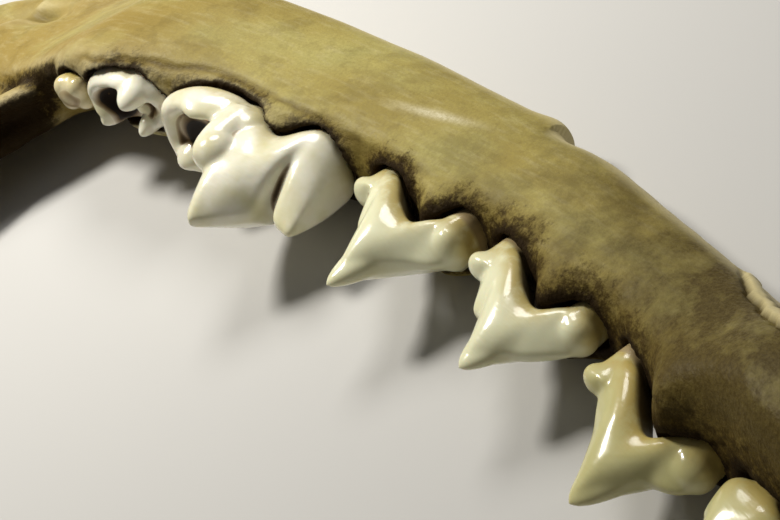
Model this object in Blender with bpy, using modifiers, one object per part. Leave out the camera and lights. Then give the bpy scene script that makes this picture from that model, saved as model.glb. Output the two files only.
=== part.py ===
"""Right half of a young red fox's lower jaw, lying on its outer side.

The jaw is drawn in its own directions first, in millimetres: x runs forward along the tooth row from
behind the last molar, y runs inward to the middle of the mouth, z runs up towards the biting edges.
At the end it is turned to lie on the floor, with the inner face up.
"""

import math

import bmesh
import bpy
import numpy as np
from mathutils import Matrix, Vector

MM = 0.001

# The tooth row: how far its middle bows outward and sags below its ends, over this length.
ROW_LENGTH = 60.0
ROW_BOW = 1.17
ROW_SAG = 4.43

# The gap left around each tooth, and between neighbouring teeth.
GAP = 0.33

# How the finished jaw is turned to rest on its outer side, in degrees, and how far it is moved to the
# middle of the floor, in mm. The lowest sixth of a millimetre is then cut off flat where it touches.
LAY_HEEL = 2.85
LAY_TIP = -7.3
LAY_MOVE = (-22.38, 9.64, 6.59)

# Each tooth: where its middle sits along the row, how far in and up from the row line, and how it is turned
# (nose up, nose inward, leaning outward), in mm and degrees.
PLACES = {
    "molar_3": (2.6, 0.3, 0.6, -1.9, 5.4, 1.6),
    "molar_2": (7.55, 0.99, -0.08, -7.6, -0.4, 2.5),
    "molar_1": (18.60, -0.18, -0.36, -6.5, -8.9, -7.1),
    "premolar_4": (31.31, 0.01, -0.22, 0.9, 2.5, -2.8),
    "premolar_3": (41.03, 0.15, -0.29, -4.2, -1.8, 0.6),
    "premolar_2": (50.49, -0.18, 0.38, -3.2, -3.7, 6.9),
    "premolar_1": (57.31, 0.11, 0.36, -0.9, 2.2, 1.5),
}

# Lengths and widths of the crowns.
MOLAR_3 = (2.8, 2.3)
MOLAR_3_CUSPS = (
    (0.75, 0.45, 1.4, 0.7),
    (-0.45, 0.4, 1.4, 0.75),
    (-0.4, -0.55, 1.45, 0.7),
    (0.75, -0.5, 1.4, 0.65),
)
MOLAR_2 = (6.7, 4.2)
MOLAR_1 = (-0.5, 13.15, 5.3)  # back end, front end and width
MOLAR_1_SEAT = 7.0  # where along it the seat is measured
PREMOLAR_4 = (9.3, 3.7)
PREMOLAR_3 = (8.7, 3.1)
PREMOLAR_2 = (8.2, 2.9)
PREMOLAR_1 = (4.3, 2.4)
CANINE = (6.2, 4.4, 15.0)
INCISORS = ((71.6, 2.6, 1.4, 3.3), (71.5, 0.95, 1.7, 3.7), (70.9, -0.95, 2.1, 4.1))

# Faces left in each CAD solid.
BONE_FACES = 5200
TOOTH_FACES = {
    "molar_3": 260,
    "molar_2": 520,
    "molar_1": 900,
    "premolar_4": 480,
    "premolar_3": 440,
    "premolar_2": 440,
    "premolar_1": 240,
    "canine": 320,
    "incisor_1": 130,
    "incisor_2": 130,
    "incisor_3": 130,
}


def row_side(x):
    u = (x - ROW_LENGTH / 2) / (ROW_LENGTH / 2)
    return -ROW_BOW * (1 - u * u)


def row_height(x):
    u = (x - ROW_LENGTH / 2) / (ROW_LENGTH / 2)
    return -ROW_SAG * (1 - u * u)


def slope(curve, x):
    return (curve(x + 0.5) - curve(x - 0.5)) / 1.0


def place(name):
    """The matrix that carries a tooth from its own middle to its place in the row."""
    x, inward, up, nose_up, nose_in, lean = PLACES[name]
    pitch = math.radians(nose_up) + math.atan(slope(row_height, x))
    yaw = math.radians(nose_in) + math.atan(slope(row_side, x))
    turn = (
        Matrix.Rotation(yaw, 4, "Z")
        @ Matrix.Rotation(-pitch, 4, "Y")
        @ Matrix.Rotation(math.radians(lean), 4, "X")
    )
    return Matrix.Translation((x, row_side(x) + inward, row_height(x) + up)) @ turn


def along(knots, x):
    """A smooth value between knots (x, value), flat beyond the ends."""
    xs = [k[0] for k in knots]
    vs = [k[1] for k in knots]
    if x <= xs[0]:
        return vs[0]
    if x >= xs[-1]:
        return vs[-1]
    i = max(k for k in range(len(xs) - 1) if xs[k] <= x)
    h = xs[i + 1] - xs[i]
    u = (x - xs[i]) / h

    def tangent(k):
        if k == 0 or k == len(xs) - 1:
            return 0.0
        a = (vs[k] - vs[k - 1]) / (xs[k] - xs[k - 1])
        b = (vs[k + 1] - vs[k]) / (xs[k + 1] - xs[k])
        return 0.0 if a * b <= 0 else 2 * a * b / (a + b)

    m0, m1 = tangent(i) * h, tangent(i + 1) * h
    return (
        (2 * u**3 - 3 * u**2 + 1) * vs[i]
        + (u**3 - 2 * u**2 + u) * m0
        + (-2 * u**3 + 3 * u**2) * vs[i + 1]
        + (u**3 - u**2) * m1
    )


def power(v, e):
    return math.copysign(abs(v) ** e, v)


def rings_to_mesh(bm, rings, across=False):
    """Skins a stack of rings with the same number of points, and closes both ends."""
    layers = [[bm.verts.new(p) for p in ring] for ring in rings]
    for a, b in zip(layers, layers[1:]):
        n = len(a)
        for i in range(n):
            j = (i + 1) % n
            bm.faces.new((a[i], a[j], b[j], b[i]))
    if not across:
        bm.faces.new(list(reversed(layers[0])))
        bm.faces.new(layers[-1])
        return
    for ring, flip in ((layers[0], True), (layers[-1], False)):
        n = len(ring)
        for i in range(n // 2 - 1):
            face = (ring[i], ring[i + 1], ring[n - 2 - i], ring[n - 1 - i])
            bm.faces.new(tuple(reversed(face)) if flip else face)


def blade(
    bm,
    x0,
    x1,
    width,
    crest,
    neck,
    columns=64,
    waist=None,
    pinch=None,
    plan=0.92,
    swell=None,
    fat=2.2,
    edge=0.22,
    tuck=None,
):
    """A crown shaped like a roof: an oval neck, a bulge above it, and flanks that close to the crest.

    waist (place, reach, depth, lean, full) parts two lobes near the crest and, by full, keeps them joined
    below it. pinch narrows the crown along the neck, and swell is its opposite. plan squares the outline seen from above, fat rounds the flanks, and edge
    is the share of the width left at the crest. tuck (start, share) draws the outer flank in to the front.
    """
    length, middle = x1 - x0, (x0 + x1) / 2
    levels = (0.0, 0.06, 0.13, 0.22, 0.33, 0.45, 0.57, 0.68, 0.78, 0.86, 0.92, 0.96, 0.985, 1.0)
    rings = []
    for t in levels:
        grow = 0.84 + 0.16 * math.sin(min(t / 0.22, 1.0) * math.pi / 2)
        rise = max(0.0, (t - 0.22) / 0.78)
        shut = 1 - rise**fat * (1 - edge)
        ring = []
        for k in range(columns):
            a = 2 * math.pi * (k + 0.5) / columns
            bx = power(math.cos(a), 0.86) * length / 2
            by = power(math.sin(a), plan) * width / 2
            cx = math.cos(a) * (length / 2 - 0.35)
            x = bx * grow * (1 - rise**1.5) + cx * rise**1.5
            squeeze = 1.0
            if waist:
                at, reach, depth, lean, full = waist
                at -= lean * (1 - rise)
                near = math.exp(-(((middle + x - at) / reach) ** 2))
                squeeze -= depth * near * min(1.0, max(0.0, rise - 0.35) * 1.6)
                shut = 1 - rise ** (fat + full * near) * (1 - edge)
            if pinch:
                at, reach, depth = pinch
                squeeze -= (
                    depth * math.exp(-(((middle + x - at) / reach) ** 2)) * (1 - rise)
                )
            if swell:
                at, reach, more = swell
                squeeze += more * math.exp(-(((middle + x - at) / reach) ** 2)) * (1 - rise)
            if tuck and by < 0:
                start, share = tuck
                squeeze *= 1 - share * min(1.0, max(0.0, (middle + x - start) / (x1 - start)))
            y = by * grow * shut * squeeze
            low = along(neck, middle + bx * grow)
            top = along(crest, middle + cx)
            ring.append((middle + x, y, low + (top - low) * t))
        rings.append(ring)
    rings_to_mesh(bm, rings, across=True)


def basin(bm, x0, x1, y0, y1, neck, rim, floor, square=0.85, columns=56):
    """A crown with a hollow in the top: an oval neck, a bulge, a rim of varying height, and a floor."""
    cx, cy, a, b = (x0 + x1) / 2, (y0 + y1) / 2, (x1 - x0) / 2, (y1 - y0) / 2
    steps = (
        (0.84, 0.0),
        (0.95, 0.15),
        (1.0, 0.4),
        (0.97, 0.7),
        (0.88, 0.93),
        (0.78, 1.0),
        (0.67, 0.84),
        (0.53, 0.3),
        (0.34, 0.04),
        (0.1, 0.0),
    )
    rings = []
    for n, (out, up) in enumerate(steps):
        ring = []
        for k in range(columns):
            t = 2 * math.pi * k / columns
            px = cx + power(math.cos(t), square) * a * out
            py = cy + power(math.sin(t), square) * b * out
            top = along(rim, math.degrees(t))
            low = along(neck, px) if n < 6 else floor
            ring.append((px, py, low + (top - low) * up))
        rings.append(ring)
    rings_to_mesh(bm, rings)


def spike(bm, foot, tip, wide, deep, round_top=0.3, sides=28):
    """A rounded cusp or root: a cone from its foot to its tip, with a rounded end and an oval section."""
    foot, tip = Vector(foot), Vector(tip)
    rings = []
    for t in (0, 0.15, 0.35, 0.55, 0.72, 0.85, 0.94, 0.985, 1.0):
        r = (1 - t) ** 0.75 * (1 - round_top) + round_top * math.sqrt(
            max(0.0, 1 - t**3)
        )
        r = max(r, 0.05)
        c = foot.lerp(tip, t)
        rings.append(
            [
                (
                    c.x + wide * r * math.cos(2 * math.pi * k / sides),
                    c.y + deep * r * math.sin(2 * math.pi * k / sides),
                    c.z,
                )
                for k in range(sides)
            ]
        )
    if tip.z < foot.z:
        rings.reverse()
    rings_to_mesh(bm, rings)


def object_of(name, bm, collection=None):
    bmesh.ops.recalc_face_normals(bm, faces=bm.faces[:])
    mesh = bpy.data.meshes.new(name)
    bm.to_mesh(mesh)
    bm.free()
    obj = bpy.data.objects.new(name, mesh)
    (collection or bpy.context.scene.collection).objects.link(obj)
    return obj


def baked(obj):
    """Applies every modifier."""
    graph = bpy.context.evaluated_depsgraph_get()
    mesh = bpy.data.meshes.new_from_object(obj.evaluated_get(graph))
    obj.modifiers.clear()
    old = obj.data
    obj.data = mesh
    bpy.data.meshes.remove(old)
    return obj


def fused(obj, voxel, soften, passes):
    """Melts overlapping closed shapes into one skin."""
    mod = obj.modifiers.new("fuse", "REMESH")
    mod.mode = "VOXEL"
    mod.voxel_size = voxel
    mod.adaptivity = 0.0
    smooth = obj.modifiers.new("soften", "SMOOTH")
    smooth.factor = soften
    smooth.iterations = passes
    return baked(obj)


def cleared_above(socket):
    """Adds copies of a socket's shape above it, so that no bone is left inside the crown's hollow."""
    bm = bmesh.new()
    bm.from_mesh(socket.data)
    for lift in (0.9, 1.8, 2.7):
        raised = socket.data.copy()
        raised.transform(Matrix.Translation((0, 0, lift)))
        bm.from_mesh(raised)
        bpy.data.meshes.remove(raised)
    bm.to_mesh(socket.data)
    bm.free()


def thinned(obj, faces):
    obj.data.calc_loop_triangles()
    now = len(obj.data.loop_triangles)
    mod = obj.modifiers.new("thin", "DECIMATE")
    mod.ratio = min(1.0, faces / now)
    mod.use_collapse_triangulate = True
    return baked(obj)


def material(name, colour, rough, coat=0.0):
    mat = bpy.data.materials.new(name)
    mat.use_nodes = True
    shader = next(n for n in mat.node_tree.nodes if n.type == "BSDF_PRINCIPLED")
    shader.inputs["Base Color"].default_value = (*colour, 1.0)
    shader.inputs["Roughness"].default_value = rough
    shader.inputs["Coat Weight"].default_value = coat
    mat.diffuse_color = (*colour, 1.0)
    return mat


def clear_scene():
    for obj in list(bpy.data.objects):
        bpy.data.objects.remove(obj, do_unlink=True)


# ---------------------------------------------------------------- teeth


def premolar(name, size, crest, notch, roots, peak=None):
    """A blade-like tooth with a limb over each root. Crest, notch, roots and peak: mm from its back end."""
    length, width = size
    half = length / 2
    bm = bmesh.new()
    line = [(x - half, z) for x, z in crest]
    rise = [
        (0.0, 0.35),
        (0.16 * length, -0.1),
        (0.26 * length, 0.05),
        (0.37 * length, 0.65),
        (0.5 * length, 1.5),
        (notch, 1.95),
        (notch + 0.12 * length, 1.15),
        (notch + 0.21 * length, 0.5),
        (length, 0.5),
    ]
    if len(roots) == 1:
        rise = [(0, 0.5), (half, 0.2), (length, 0.6)]
    neck = [(x - half, z) for x, z in rise]
    blade(bm, 0.3 - half, half - 0.15, width, line, neck, pinch=(notch - half, 1.2, 0.2), fat=1.6, edge=0.2)
    if peak:
        # The heel behind, the low lobe in front and the rounded point of the main cusp.
        ball(bm, (0.95 - half, 0.12 * width, 1.35), (0.9, width * 0.26, 0.65))
        ball(bm, (half - 0.98, 0.05 * width, 1.55), (1.0, width * 0.34, 0.9))
        spike(bm, (peak[0] + 0.3 - half, 0, 2.2), (peak[0] - half, 0, peak[1]), 1.55, width * 0.3, 0.4)
    for at, wide, depth in roots:
        spike(
            bm,
            (at - half, 0, 1.6),
            (at - half + (at - half) * 0.12, 0, -depth),
            wide,
            width * 0.4,
            0.45,
        )
    return object_of(name, bm)


def make_premolar_4():
    crest = [
        (0.0, 1.0),
        (0.5, 1.5),
        (1.2, 1.65),
        (1.9, 2.3),
        (2.35, 3.1),
        (2.75, 3.4),
        (3.15, 3.5),
        (3.7, 4.5),
        (4.2, 5.4),
        (4.75, 6.0),
        (5.2, 5.5),
        (5.7, 4.8),
        (6.4, 4.1),
        (7.2, 3.5),
        (8.3, 2.9),
        (8.9, 2.3),
        (9.3, 1.7),
    ]
    roots = ((1.65, 1.35, 5.0), (7.9, 1.15, 5.0))
    return premolar("premolar_4", PREMOLAR_4, crest, 6.0, roots, peak=(4.75, 6.85))


def make_premolar_3():
    crest = [
        (0.0, 1.2),
        (0.5, 1.6),
        (1.1, 1.8),
        (2.0, 2.75),
        (2.65, 3.5),
        (3.05, 3.5),
        (3.5, 4.1),
        (4.1, 5.0),
        (4.55, 5.5),
        (5.1, 5.1),
        (6.0, 4.2),
        (6.7, 3.8),
        (7.8, 2.9),
        (8.4, 2.3),
        (8.7, 1.6),
    ]
    roots = ((1.6, 1.3, 4.4), (7.4, 1.05, 4.2))
    return premolar("premolar_3", PREMOLAR_3, crest, 5.6, roots, peak=(4.6, 6.05))


def make_premolar_2():
    crest = [
        (0.0, 1.2),
        (0.5, 1.6),
        (1.1, 1.7),
        (1.8, 2.35),
        (2.85, 3.4),
        (3.6, 4.5),
        (4.05, 5.2),
        (4.45, 5.6),
        (4.9, 5.1),
        (5.8, 3.9),
        (6.3, 3.2),
        (7.0, 2.95),
        (7.7, 2.5),
        (8.2, 1.6),
    ]
    roots = ((1.4, 1.1, 4.0), (7.0, 0.95, 3.8))
    return premolar("premolar_2", PREMOLAR_2, crest, 5.0, roots, peak=(4.5, 5.95))


def make_premolar_1():
    crest = [
        (0.0, 1.4),
        (0.5, 2.25),
        (1.1, 2.6),
        (1.9, 3.5),
        (2.6, 3.0),
        (3.6, 2.1),
        (4.3, 1.4),
    ]
    return premolar("premolar_1", PREMOLAR_1, crest, 2.1, ((2.15, 1.2, 3.6),))


def make_molar_1():
    """The carnassial: a two-lobed blade in front, with a low basined heel and an inner cusp behind it."""
    back, front, width = MOLAR_1
    half = MOLAR_1_SEAT
    bm = bmesh.new()
    rise = [
        (-0.5, 1.3),
        (3.0, 0.4),
        (5.0, 0.3),
        (6.8, 0.9),
        (8.4, 1.8),
        (10.0, 0.6),
        (11.6, 0.0),
        (13.1, 0.8),
    ]
    neck = [(x - half, z) for x, z in rise]
    line = [
        (4.6, 3.4),
        (5.2, 4.6),
        (5.9, 6.3),
        (6.6, 7.8),
        (7.0, 8.15),
        (7.7, 7.75),
        (9.2, 6.6),
        (9.7, 6.2),
        (9.95, 5.75),
        (10.15, 5.05),
        (10.3, 4.8),
        (10.5, 5.05),
        (10.8, 5.6),
        (11.15, 5.95),
        (11.8, 6.2),
        (12.4, 6.35),
        (12.65, 5.9),
        (12.85, 4.8),
        (13.0, 3.6),
        (13.15, 2.6),
    ]
    crest = [(x - half, z) for x, z in line]
    blade(
        bm,
        4.6 - half,
        front - half,
        width,
        crest,
        neck,
        columns=96,
        waist=(10.25 - half, 0.7, 0.1, 0.6, 0.8),
        pinch=(8.4 - half, 1.6, 0.12),
        plan=0.84,
        swell=(11.4 - half, 1.5, 0.1),
        fat=2.3,
        edge=0.12,
        tuck=(8.5 - half, 0.4),
    )
    rim = [
        (0, 3.0),
        (45, 3.0),
        (75, 2.7),
        (95, 3.1),
        (115, 2.75),
        (150, 2.9),
        (180, 2.8),
        (215, 3.0),
        (240, 3.4),
        (265, 3.1),
        (292, 2.4),
        (320, 2.8),
        (360, 3.0),
    ]
    basin(bm, back - half, 6.9 - half, -width / 2, width / 2 - 0.05, neck, rim, 1.6)
    spike(bm, (5.5 - half, 1.4, 1.2), (5.55 - half, 1.85, 5.5), 1.4, 1.2, 0.8)
    ball(bm, (5.9 - half, 1.05, 1.9), (2.0, 1.5, 1.9))
    ball(bm, (5.9 - half, 1.55, 4.2), (1.35, 1.15, 1.35))
    spike(bm, (2.1 - half, -1.45, 1.0), (1.85 - half, -1.65, 3.7), 1.5, 1.0, 0.7)
    spike(bm, (2.9 - half, 1.95, 1.0), (2.9 - half, 1.95, 3.1), 0.6, 0.5, 0.5)
    spike(bm, (3.3 - half, -0.3, 2.4), (2.6 - half, -0.3, -5.4), 2.4, 1.7, 0.45)
    spike(bm, (10.9 - half, -0.1, 2.4), (11.3 - half, 0.0, -5.6), 1.7, 1.5, 0.45)
    return object_of("molar_1", bm)


def make_molar_2():
    length, width = MOLAR_2
    half, side = length / 2, width / 2
    bm = bmesh.new()
    neck = [(-half, 1.0), (-0.2 * length, 0.6), (0.2, 0.8), (half, 0.8)]
    rim = [
        (0, 2.4),
        (40, 2.6),
        (75, 2.7),
        (110, 2.6),
        (150, 2.5),
        (180, 2.5),
        (215, 2.9),
        (240, 2.3),
        (262, 1.6),
        (285, 1.9),
        (310, 2.7),
        (360, 2.4),
    ]
    basin(bm, -half, half, -side, side, neck, rim, 1.6, square=1.0)
    spike(bm, (1.1, 1.15, 1.0), (1.2, 1.05, 3.7), 1.25, 0.95, 0.7)
    spike(bm, (1.1, -1.3, 0.8), (1.1, -1.4, 3.4), 0.85, 0.85, 0.6)
    spike(bm, (-2.0, -1.4, 0.7), (-2.2, -1.45, 3.0), 1.1, 0.9, 0.6)
    spike(bm, (1.2, 0.0, 0.8), (1.2, 0.0, 2.7), 0.5, 1.2, 0.6)
    spike(bm, (-1.6, -0.5, 1.3), (-1.9, -1.2, -4.2), 1.4, 1.2, 0.45)
    spike(bm, (1.6, -0.5, 1.3), (1.7, -1.2, -4.4), 1.3, 1.2, 0.45)
    return object_of("molar_2", bm)


def make_molar_3():
    length, width = MOLAR_3
    half, side = length / 2, width / 2
    bm = bmesh.new()
    ball(bm, (0, 0, 1.2), (half, side, 1.05))
    for x, y, z, r in MOLAR_3_CUSPS:
        ball(bm, (x, y, z), (r, r, r))
    spike(bm, (0, -0.3, 1.1), (-0.3, -0.8, -3.0), 1.0, 0.9, 0.45)
    return object_of("molar_3", bm)


def make_canine():
    """A curved, oval-sectioned cone on a beveled curve, from deep in the jaw to the tip."""
    long, wide, tall = CANINE
    data = bpy.data.curves.new("canine", "CURVE")
    data.dimensions = "3D"
    data.bevel_depth = long / 2
    data.bevel_resolution = 6
    data.resolution_u = 8
    data.use_fill_caps = True
    spline = data.splines.new("BEZIER")
    knots = (
        (60.2, 0.1, -3.6, 0.34),
        (62.6, -0.2, -1.1, 0.74),
        (65.2, -0.6, 2.4, 0.96),
        (66.6, -1.1, 6.4, 0.8),
        (66.8, -1.8, 11.0, 0.5),
        (65.4, -2.3, 2.4 + tall * 0.94, 0.13),
    )
    spline.bezier_points.add(len(knots) - 1)
    for point, (x, y, z, r) in zip(spline.bezier_points, knots):
        point.co = (x, y / (wide / long), z)
        point.radius = r
        point.handle_left_type = point.handle_right_type = "AUTO"
    curve = bpy.data.objects.new("canine_path", data)
    bpy.context.scene.collection.objects.link(curve)
    graph = bpy.context.evaluated_depsgraph_get()
    mesh = bpy.data.meshes.new_from_object(curve.evaluated_get(graph))
    mesh.transform(Matrix.Diagonal((1, wide / long, 1, 1)))
    bpy.data.objects.remove(curve, do_unlink=True)
    obj = bpy.data.objects.new("canine", mesh)
    bpy.context.scene.collection.objects.link(obj)
    return obj


def make_incisor(number):
    """A small chisel: an oval neck that widens to a thin edge, on one root."""
    x, y, wide, tall = INCISORS[number - 1]
    bm = bmesh.new()
    rings = []
    for t, along_jaw, across in (
        (0.0, 0.72, 0.30),
        (0.2, 0.82, 0.38),
        (0.5, 0.62, 0.46),
        (0.8, 0.34, 0.5),
        (1.0, 0.12, 0.44),
    ):
        rings.append(
            [
                (
                    along_jaw * 1.35 * math.cos(2 * math.pi * k / 20) + 0.55 * t,
                    across * wide * math.sin(2 * math.pi * k / 20),
                    t * tall,
                )
                for k in range(20)
            ]
        )
    rings_to_mesh(bm, rings)
    spike(bm, (0, 0, 0.9), (-2.2, 0, -4.2), 0.78, wide * 0.3, 0.4, 20)
    bm.transform(
        Matrix.Translation((x, y, 2.7)) @ Matrix.Rotation(math.radians(16), 4, "Y")
    )
    return object_of(f"incisor_{number}", bm)


# ---------------------------------------------------------------- bone

# The body of the jaw, by distance along the row: lower and upper edge, middle line, and half
# thickness outward and inward.
LOWER_EDGE = [
    (-17, -7.2),
    (-10, -8.6),
    (-4, -9.6),
    (0, -10.1),
    (4, -10.7),
    (8, -11.3),
    (12, -11.9),
    (16, -12.4),
    (22, -12.7),
    (28, -12.6),
    (32.6, -12.45),
    (33.4, -12.3),
    (34.2, -11.6),
    (37, -11.55),
    (41, -10.75),
    (45, -9.75),
    (49, -8.7),
    (53, -7.45),
    (58, -6.3),
    (63, -4.8),
    (68, -1.7),
    (71, 0.9),
    (73, 2.0),
]
UPPER_EDGE = [
    (-17, 1.5),
    (-8, 2.4),
    (-2, 2.5),
    (1, 2.3),
    (3, 1.8),
    (6, 1.6),
    (9, 0.4),
    (13, -1.5),
    (18, -2.9),
    (21, -3.2),
    (24, -4.0),
    (28, -4.3),
    (32, -4.2),
    (37, -4.1),
    (41, -3.7),
    (46, -2.9),
    (51, -1.6),
    (55, -0.4),
    (59, 0.2),
    (63, 1.4),
    (67, 2.6),
    (71, 3.1),
    (73, 3.0),
]
# How much lower the outer side of the upper edge lies than the inner side: higher where it is below 0.
OUTER_DROP = [
    (-10, 0.0),
    (-4, 1.2),
    (-1, 3.0),
    (3, 3.4),
    (8, 1.8),
    (13, 0.8),
    (20, 0.0),
    (30, -0.4),
    (60, -0.5),
]
MIDDLE = [
    (-17, -4.6),
    (-8, -3.2),
    (0, -1.6),
    (5, -0.7),
    (10, -0.8),
    (18, -1.3),
    (30, -1.45),
    (42, -1.15),
    (50, -0.7),
    (58, -0.1),
    (66, 0.2),
    (73, 0.6),
]
OUTWARD = [
    (-17, 2.2),
    (-8, 3.1),
    (0, 3.3),
    (8, 3.4),
    (18, 3.4),
    (30, 3.1),
    (42, 2.85),
    (52, 2.75),
    (60, 3.4),
    (65, 4.0),
    (69, 3.5),
    (73, 2.0),
]
INWARD = [
    (-17, 2.1),
    (-8, 2.2),
    (0, 3.3),
    (4, 4.2),
    (8, 4.4),
    (13, 3.8),
    (22, 3.2),
    (32, 2.8),
    (42, 2.75),
    (48, 2.95),
    (52, 3.9),
    (56, 5.2),
    (60, 5.2),
    (66, 3.7),
    (71, 2.8),
    (73, 2.0),
]

# The bone rises between the two roots of a tooth and dips between neighbours: place along the row,
# height and reach.
RISES = (
    (6.9, 0.35, 0.8),
    (19.9, 1.2, 1.3),
    (26.3, -0.4, 1.2),
    (33.0, 1.5, 0.95),
    (36.3, -0.5, 1.3),
    (42.4, 1.6, 0.95),
    (46.0, -0.5, 1.3),
    (51.7, 1.6, 0.95),
    (55.0, -0.4, 1.2),
)


def body(bm, stations=92, around=36):
    rings = []
    for s in range(stations):
        x = -17 + 90 * s / (stations - 1)
        low, high = along(LOWER_EDGE, x), along(UPPER_EDGE, x)
        high += sum(h * math.exp(-(((x - at) / r) ** 2)) for at, h, r in RISES)
        mid, out, inn = along(MIDDLE, x), along(OUTWARD, x), along(INWARD, x)
        centre, half = (low + high) / 2, (high - low) / 2
        ring = []
        for k in range(around):
            a = 2 * math.pi * k / around
            box = 0.74 if math.sin(a) < 0 else 0.5
            cy, cz = power(math.cos(a), box), power(math.sin(a), box)
            # The lower edge is narrower than the tooth-bearing edge.
            thin = 1.0 - 0.26 * (0.5 - 0.5 * cz) ** 1.5
            y = mid + (inn if cy > 0 else out) * cy * thin
            drop = along(OUTER_DROP, x) * (0.5 - 0.5 * cy) * (0.5 + 0.5 * cz)
            ring.append((x, y, centre + half * cz - drop))
        rings.append(ring)
    rings_to_mesh(bm, rings)


# The upright part behind the teeth is drawn in a frame that follows the back of the row:
# s mm behind the last molar, h mm above the row, tilted by this angle.
RAMUS_TILT = 17.0
RAMUS = [
    (1.0, -6.0),
    (2.4, -0.6),
    (4.0, 2.2),
    (5.5, 5.0),
    (7.4, 9.0),
    (9.9, 14.0),
    (12.4, 19.0),
    (15.0, 23.2),
    (18.2, 25.7),
    (21.4, 25.0),
    (23.0, 21.8),
    (22.1, 17.2),
    (21.2, 13.4),
    (21.4, 10.9),
    (22.5, 9.3),
    (24.3, 8.8),
    (25.2, 6.9),
    (23.4, 4.4),
    (21.8, 1.2),
    (22.2, -2.4),
    (24.6, -3.5),
    (26.8, -4.7),
    (26.6, -6.4),
    (22.6, -8.8),
    (17.6, -10.4),
    (11.0, -11.3),
    (4.0, -10.8),
]

# The front border of the upright part: s at each h, for the outer crest and for the ridge inside it.
OUTER_CREST = [
    (-2.0, 2.0),
    (0.2, 2.7),
    (2.0, 3.6),
    (4.4, 5.1),
    (9.0, 7.4),
    (14.0, 9.9),
    (19.0, 12.4),
]
INNER_RIDGE = [(-2.0, 1.2), (0.3, 1.6), (2.0, 2.9), (4.2, 4.8), (8.0, 8.2), (11.0, 11.0)]


def ramus_point(s, h):
    a = math.radians(RAMUS_TILT)
    return -s * math.cos(a) + h * math.sin(a), s * math.sin(a) + h * math.cos(a)


def ramus():
    """A plate with a rounded edge, as a filled curve."""
    data = bpy.data.curves.new("ramus", "CURVE")
    data.dimensions = "2D"
    data.fill_mode = "BOTH"
    data.extrude = 0.55
    data.bevel_depth = 0.75
    data.bevel_resolution = 3
    data.resolution_u = 4
    spline = data.splines.new("BEZIER")
    spline.bezier_points.add(len(RAMUS) - 1)
    spline.use_cyclic_u = True
    for point, (s, h) in zip(spline.bezier_points, RAMUS):
        x, z = ramus_point(s, h)
        point.co = (x, z, 0)
        point.handle_left_type = point.handle_right_type = "AUTO"
    curve = bpy.data.objects.new("ramus_outline", data)
    bpy.context.scene.collection.objects.link(curve)
    graph = bpy.context.evaluated_depsgraph_get()
    mesh = bpy.data.meshes.new_from_object(curve.evaluated_get(graph))
    bpy.data.objects.remove(curve, do_unlink=True)
    mesh.transform(Matrix.Rotation(math.radians(90), 4, "X"))
    obj = bpy.data.objects.new("ramus", mesh)
    bpy.context.scene.collection.objects.link(obj)
    return obj


def ramus_side(x, z):
    """How far out the plate stands: it runs outward towards the back, and leans out a little at the top."""
    return -2.9 + 0.11 * min(x, 2.0) - 0.05 * max(z, 0.0)


def make_bone():
    plate = ramus()
    for v in plate.data.vertices:
        v.co.y += ramus_side(v.co.x, v.co.z)
    bm = bmesh.new()
    bm.from_mesh(plate.data)
    bpy.data.objects.remove(plate, do_unlink=True)
    body(bm)
    # The front border of the upright part: two ridges with a groove between them.
    for n in range(16):
        h = -2.0 + 18.5 * n / 15
        s = along(OUTER_CREST, h) + 1.5
        x, z = ramus_point(s, h)
        ball(bm, (x, ramus_side(x, z) - 0.2, z), (1.5, 1.35 - 0.03 * h, 1.9))
    for n in range(10):
        h = -2.0 + 10.5 * n / 9
        s = along(INNER_RIDGE, h) + 1.2
        x, z = ramus_point(s, h)
        ball(bm, (x, -1.5 - 0.13 * max(h, 0.0), z), (1.2, 1.15 - 0.04 * h, 1.5))
    # The condyle, a bar across the jaw, and the angular process below it.
    x, z = ramus_point(23.8, 7.0)
    ball(bm, (x, ramus_side(x, z) + 1.2, z), (2.1, 5.3, 1.95))
    ball(bm, (x + 1.6, ramus_side(x, z) + 0.8, z - 1.0), (2.2, 2.6, 2.4))
    for n in range(6):
        t = n / 5
        s, h = 17.0 + 8.6 * t, -8.4 + 2.8 * t
        x, z = ramus_point(s, h)
        ball(bm, (x, ramus_side(x, z) + 0.9 * t - 0.83, z), (2.4, 1.75 - 0.2 * t, 1.7 - 0.5 * t))
    bone = object_of("mandible", bm)
    fused(bone, 0.5, 0.5, 9)
    shape_faces(bone)
    return bone


def ball(bm, centre, radii):
    made = bmesh.ops.create_icosphere(bm, subdivisions=3, radius=1.0)
    for v in made["verts"]:
        v.co = Vector(
            (
                centre[0] + v.co.x * radii[0],
                centre[1] + v.co.y * radii[1],
                centre[2] + v.co.z * radii[2],
            )
        )


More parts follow.
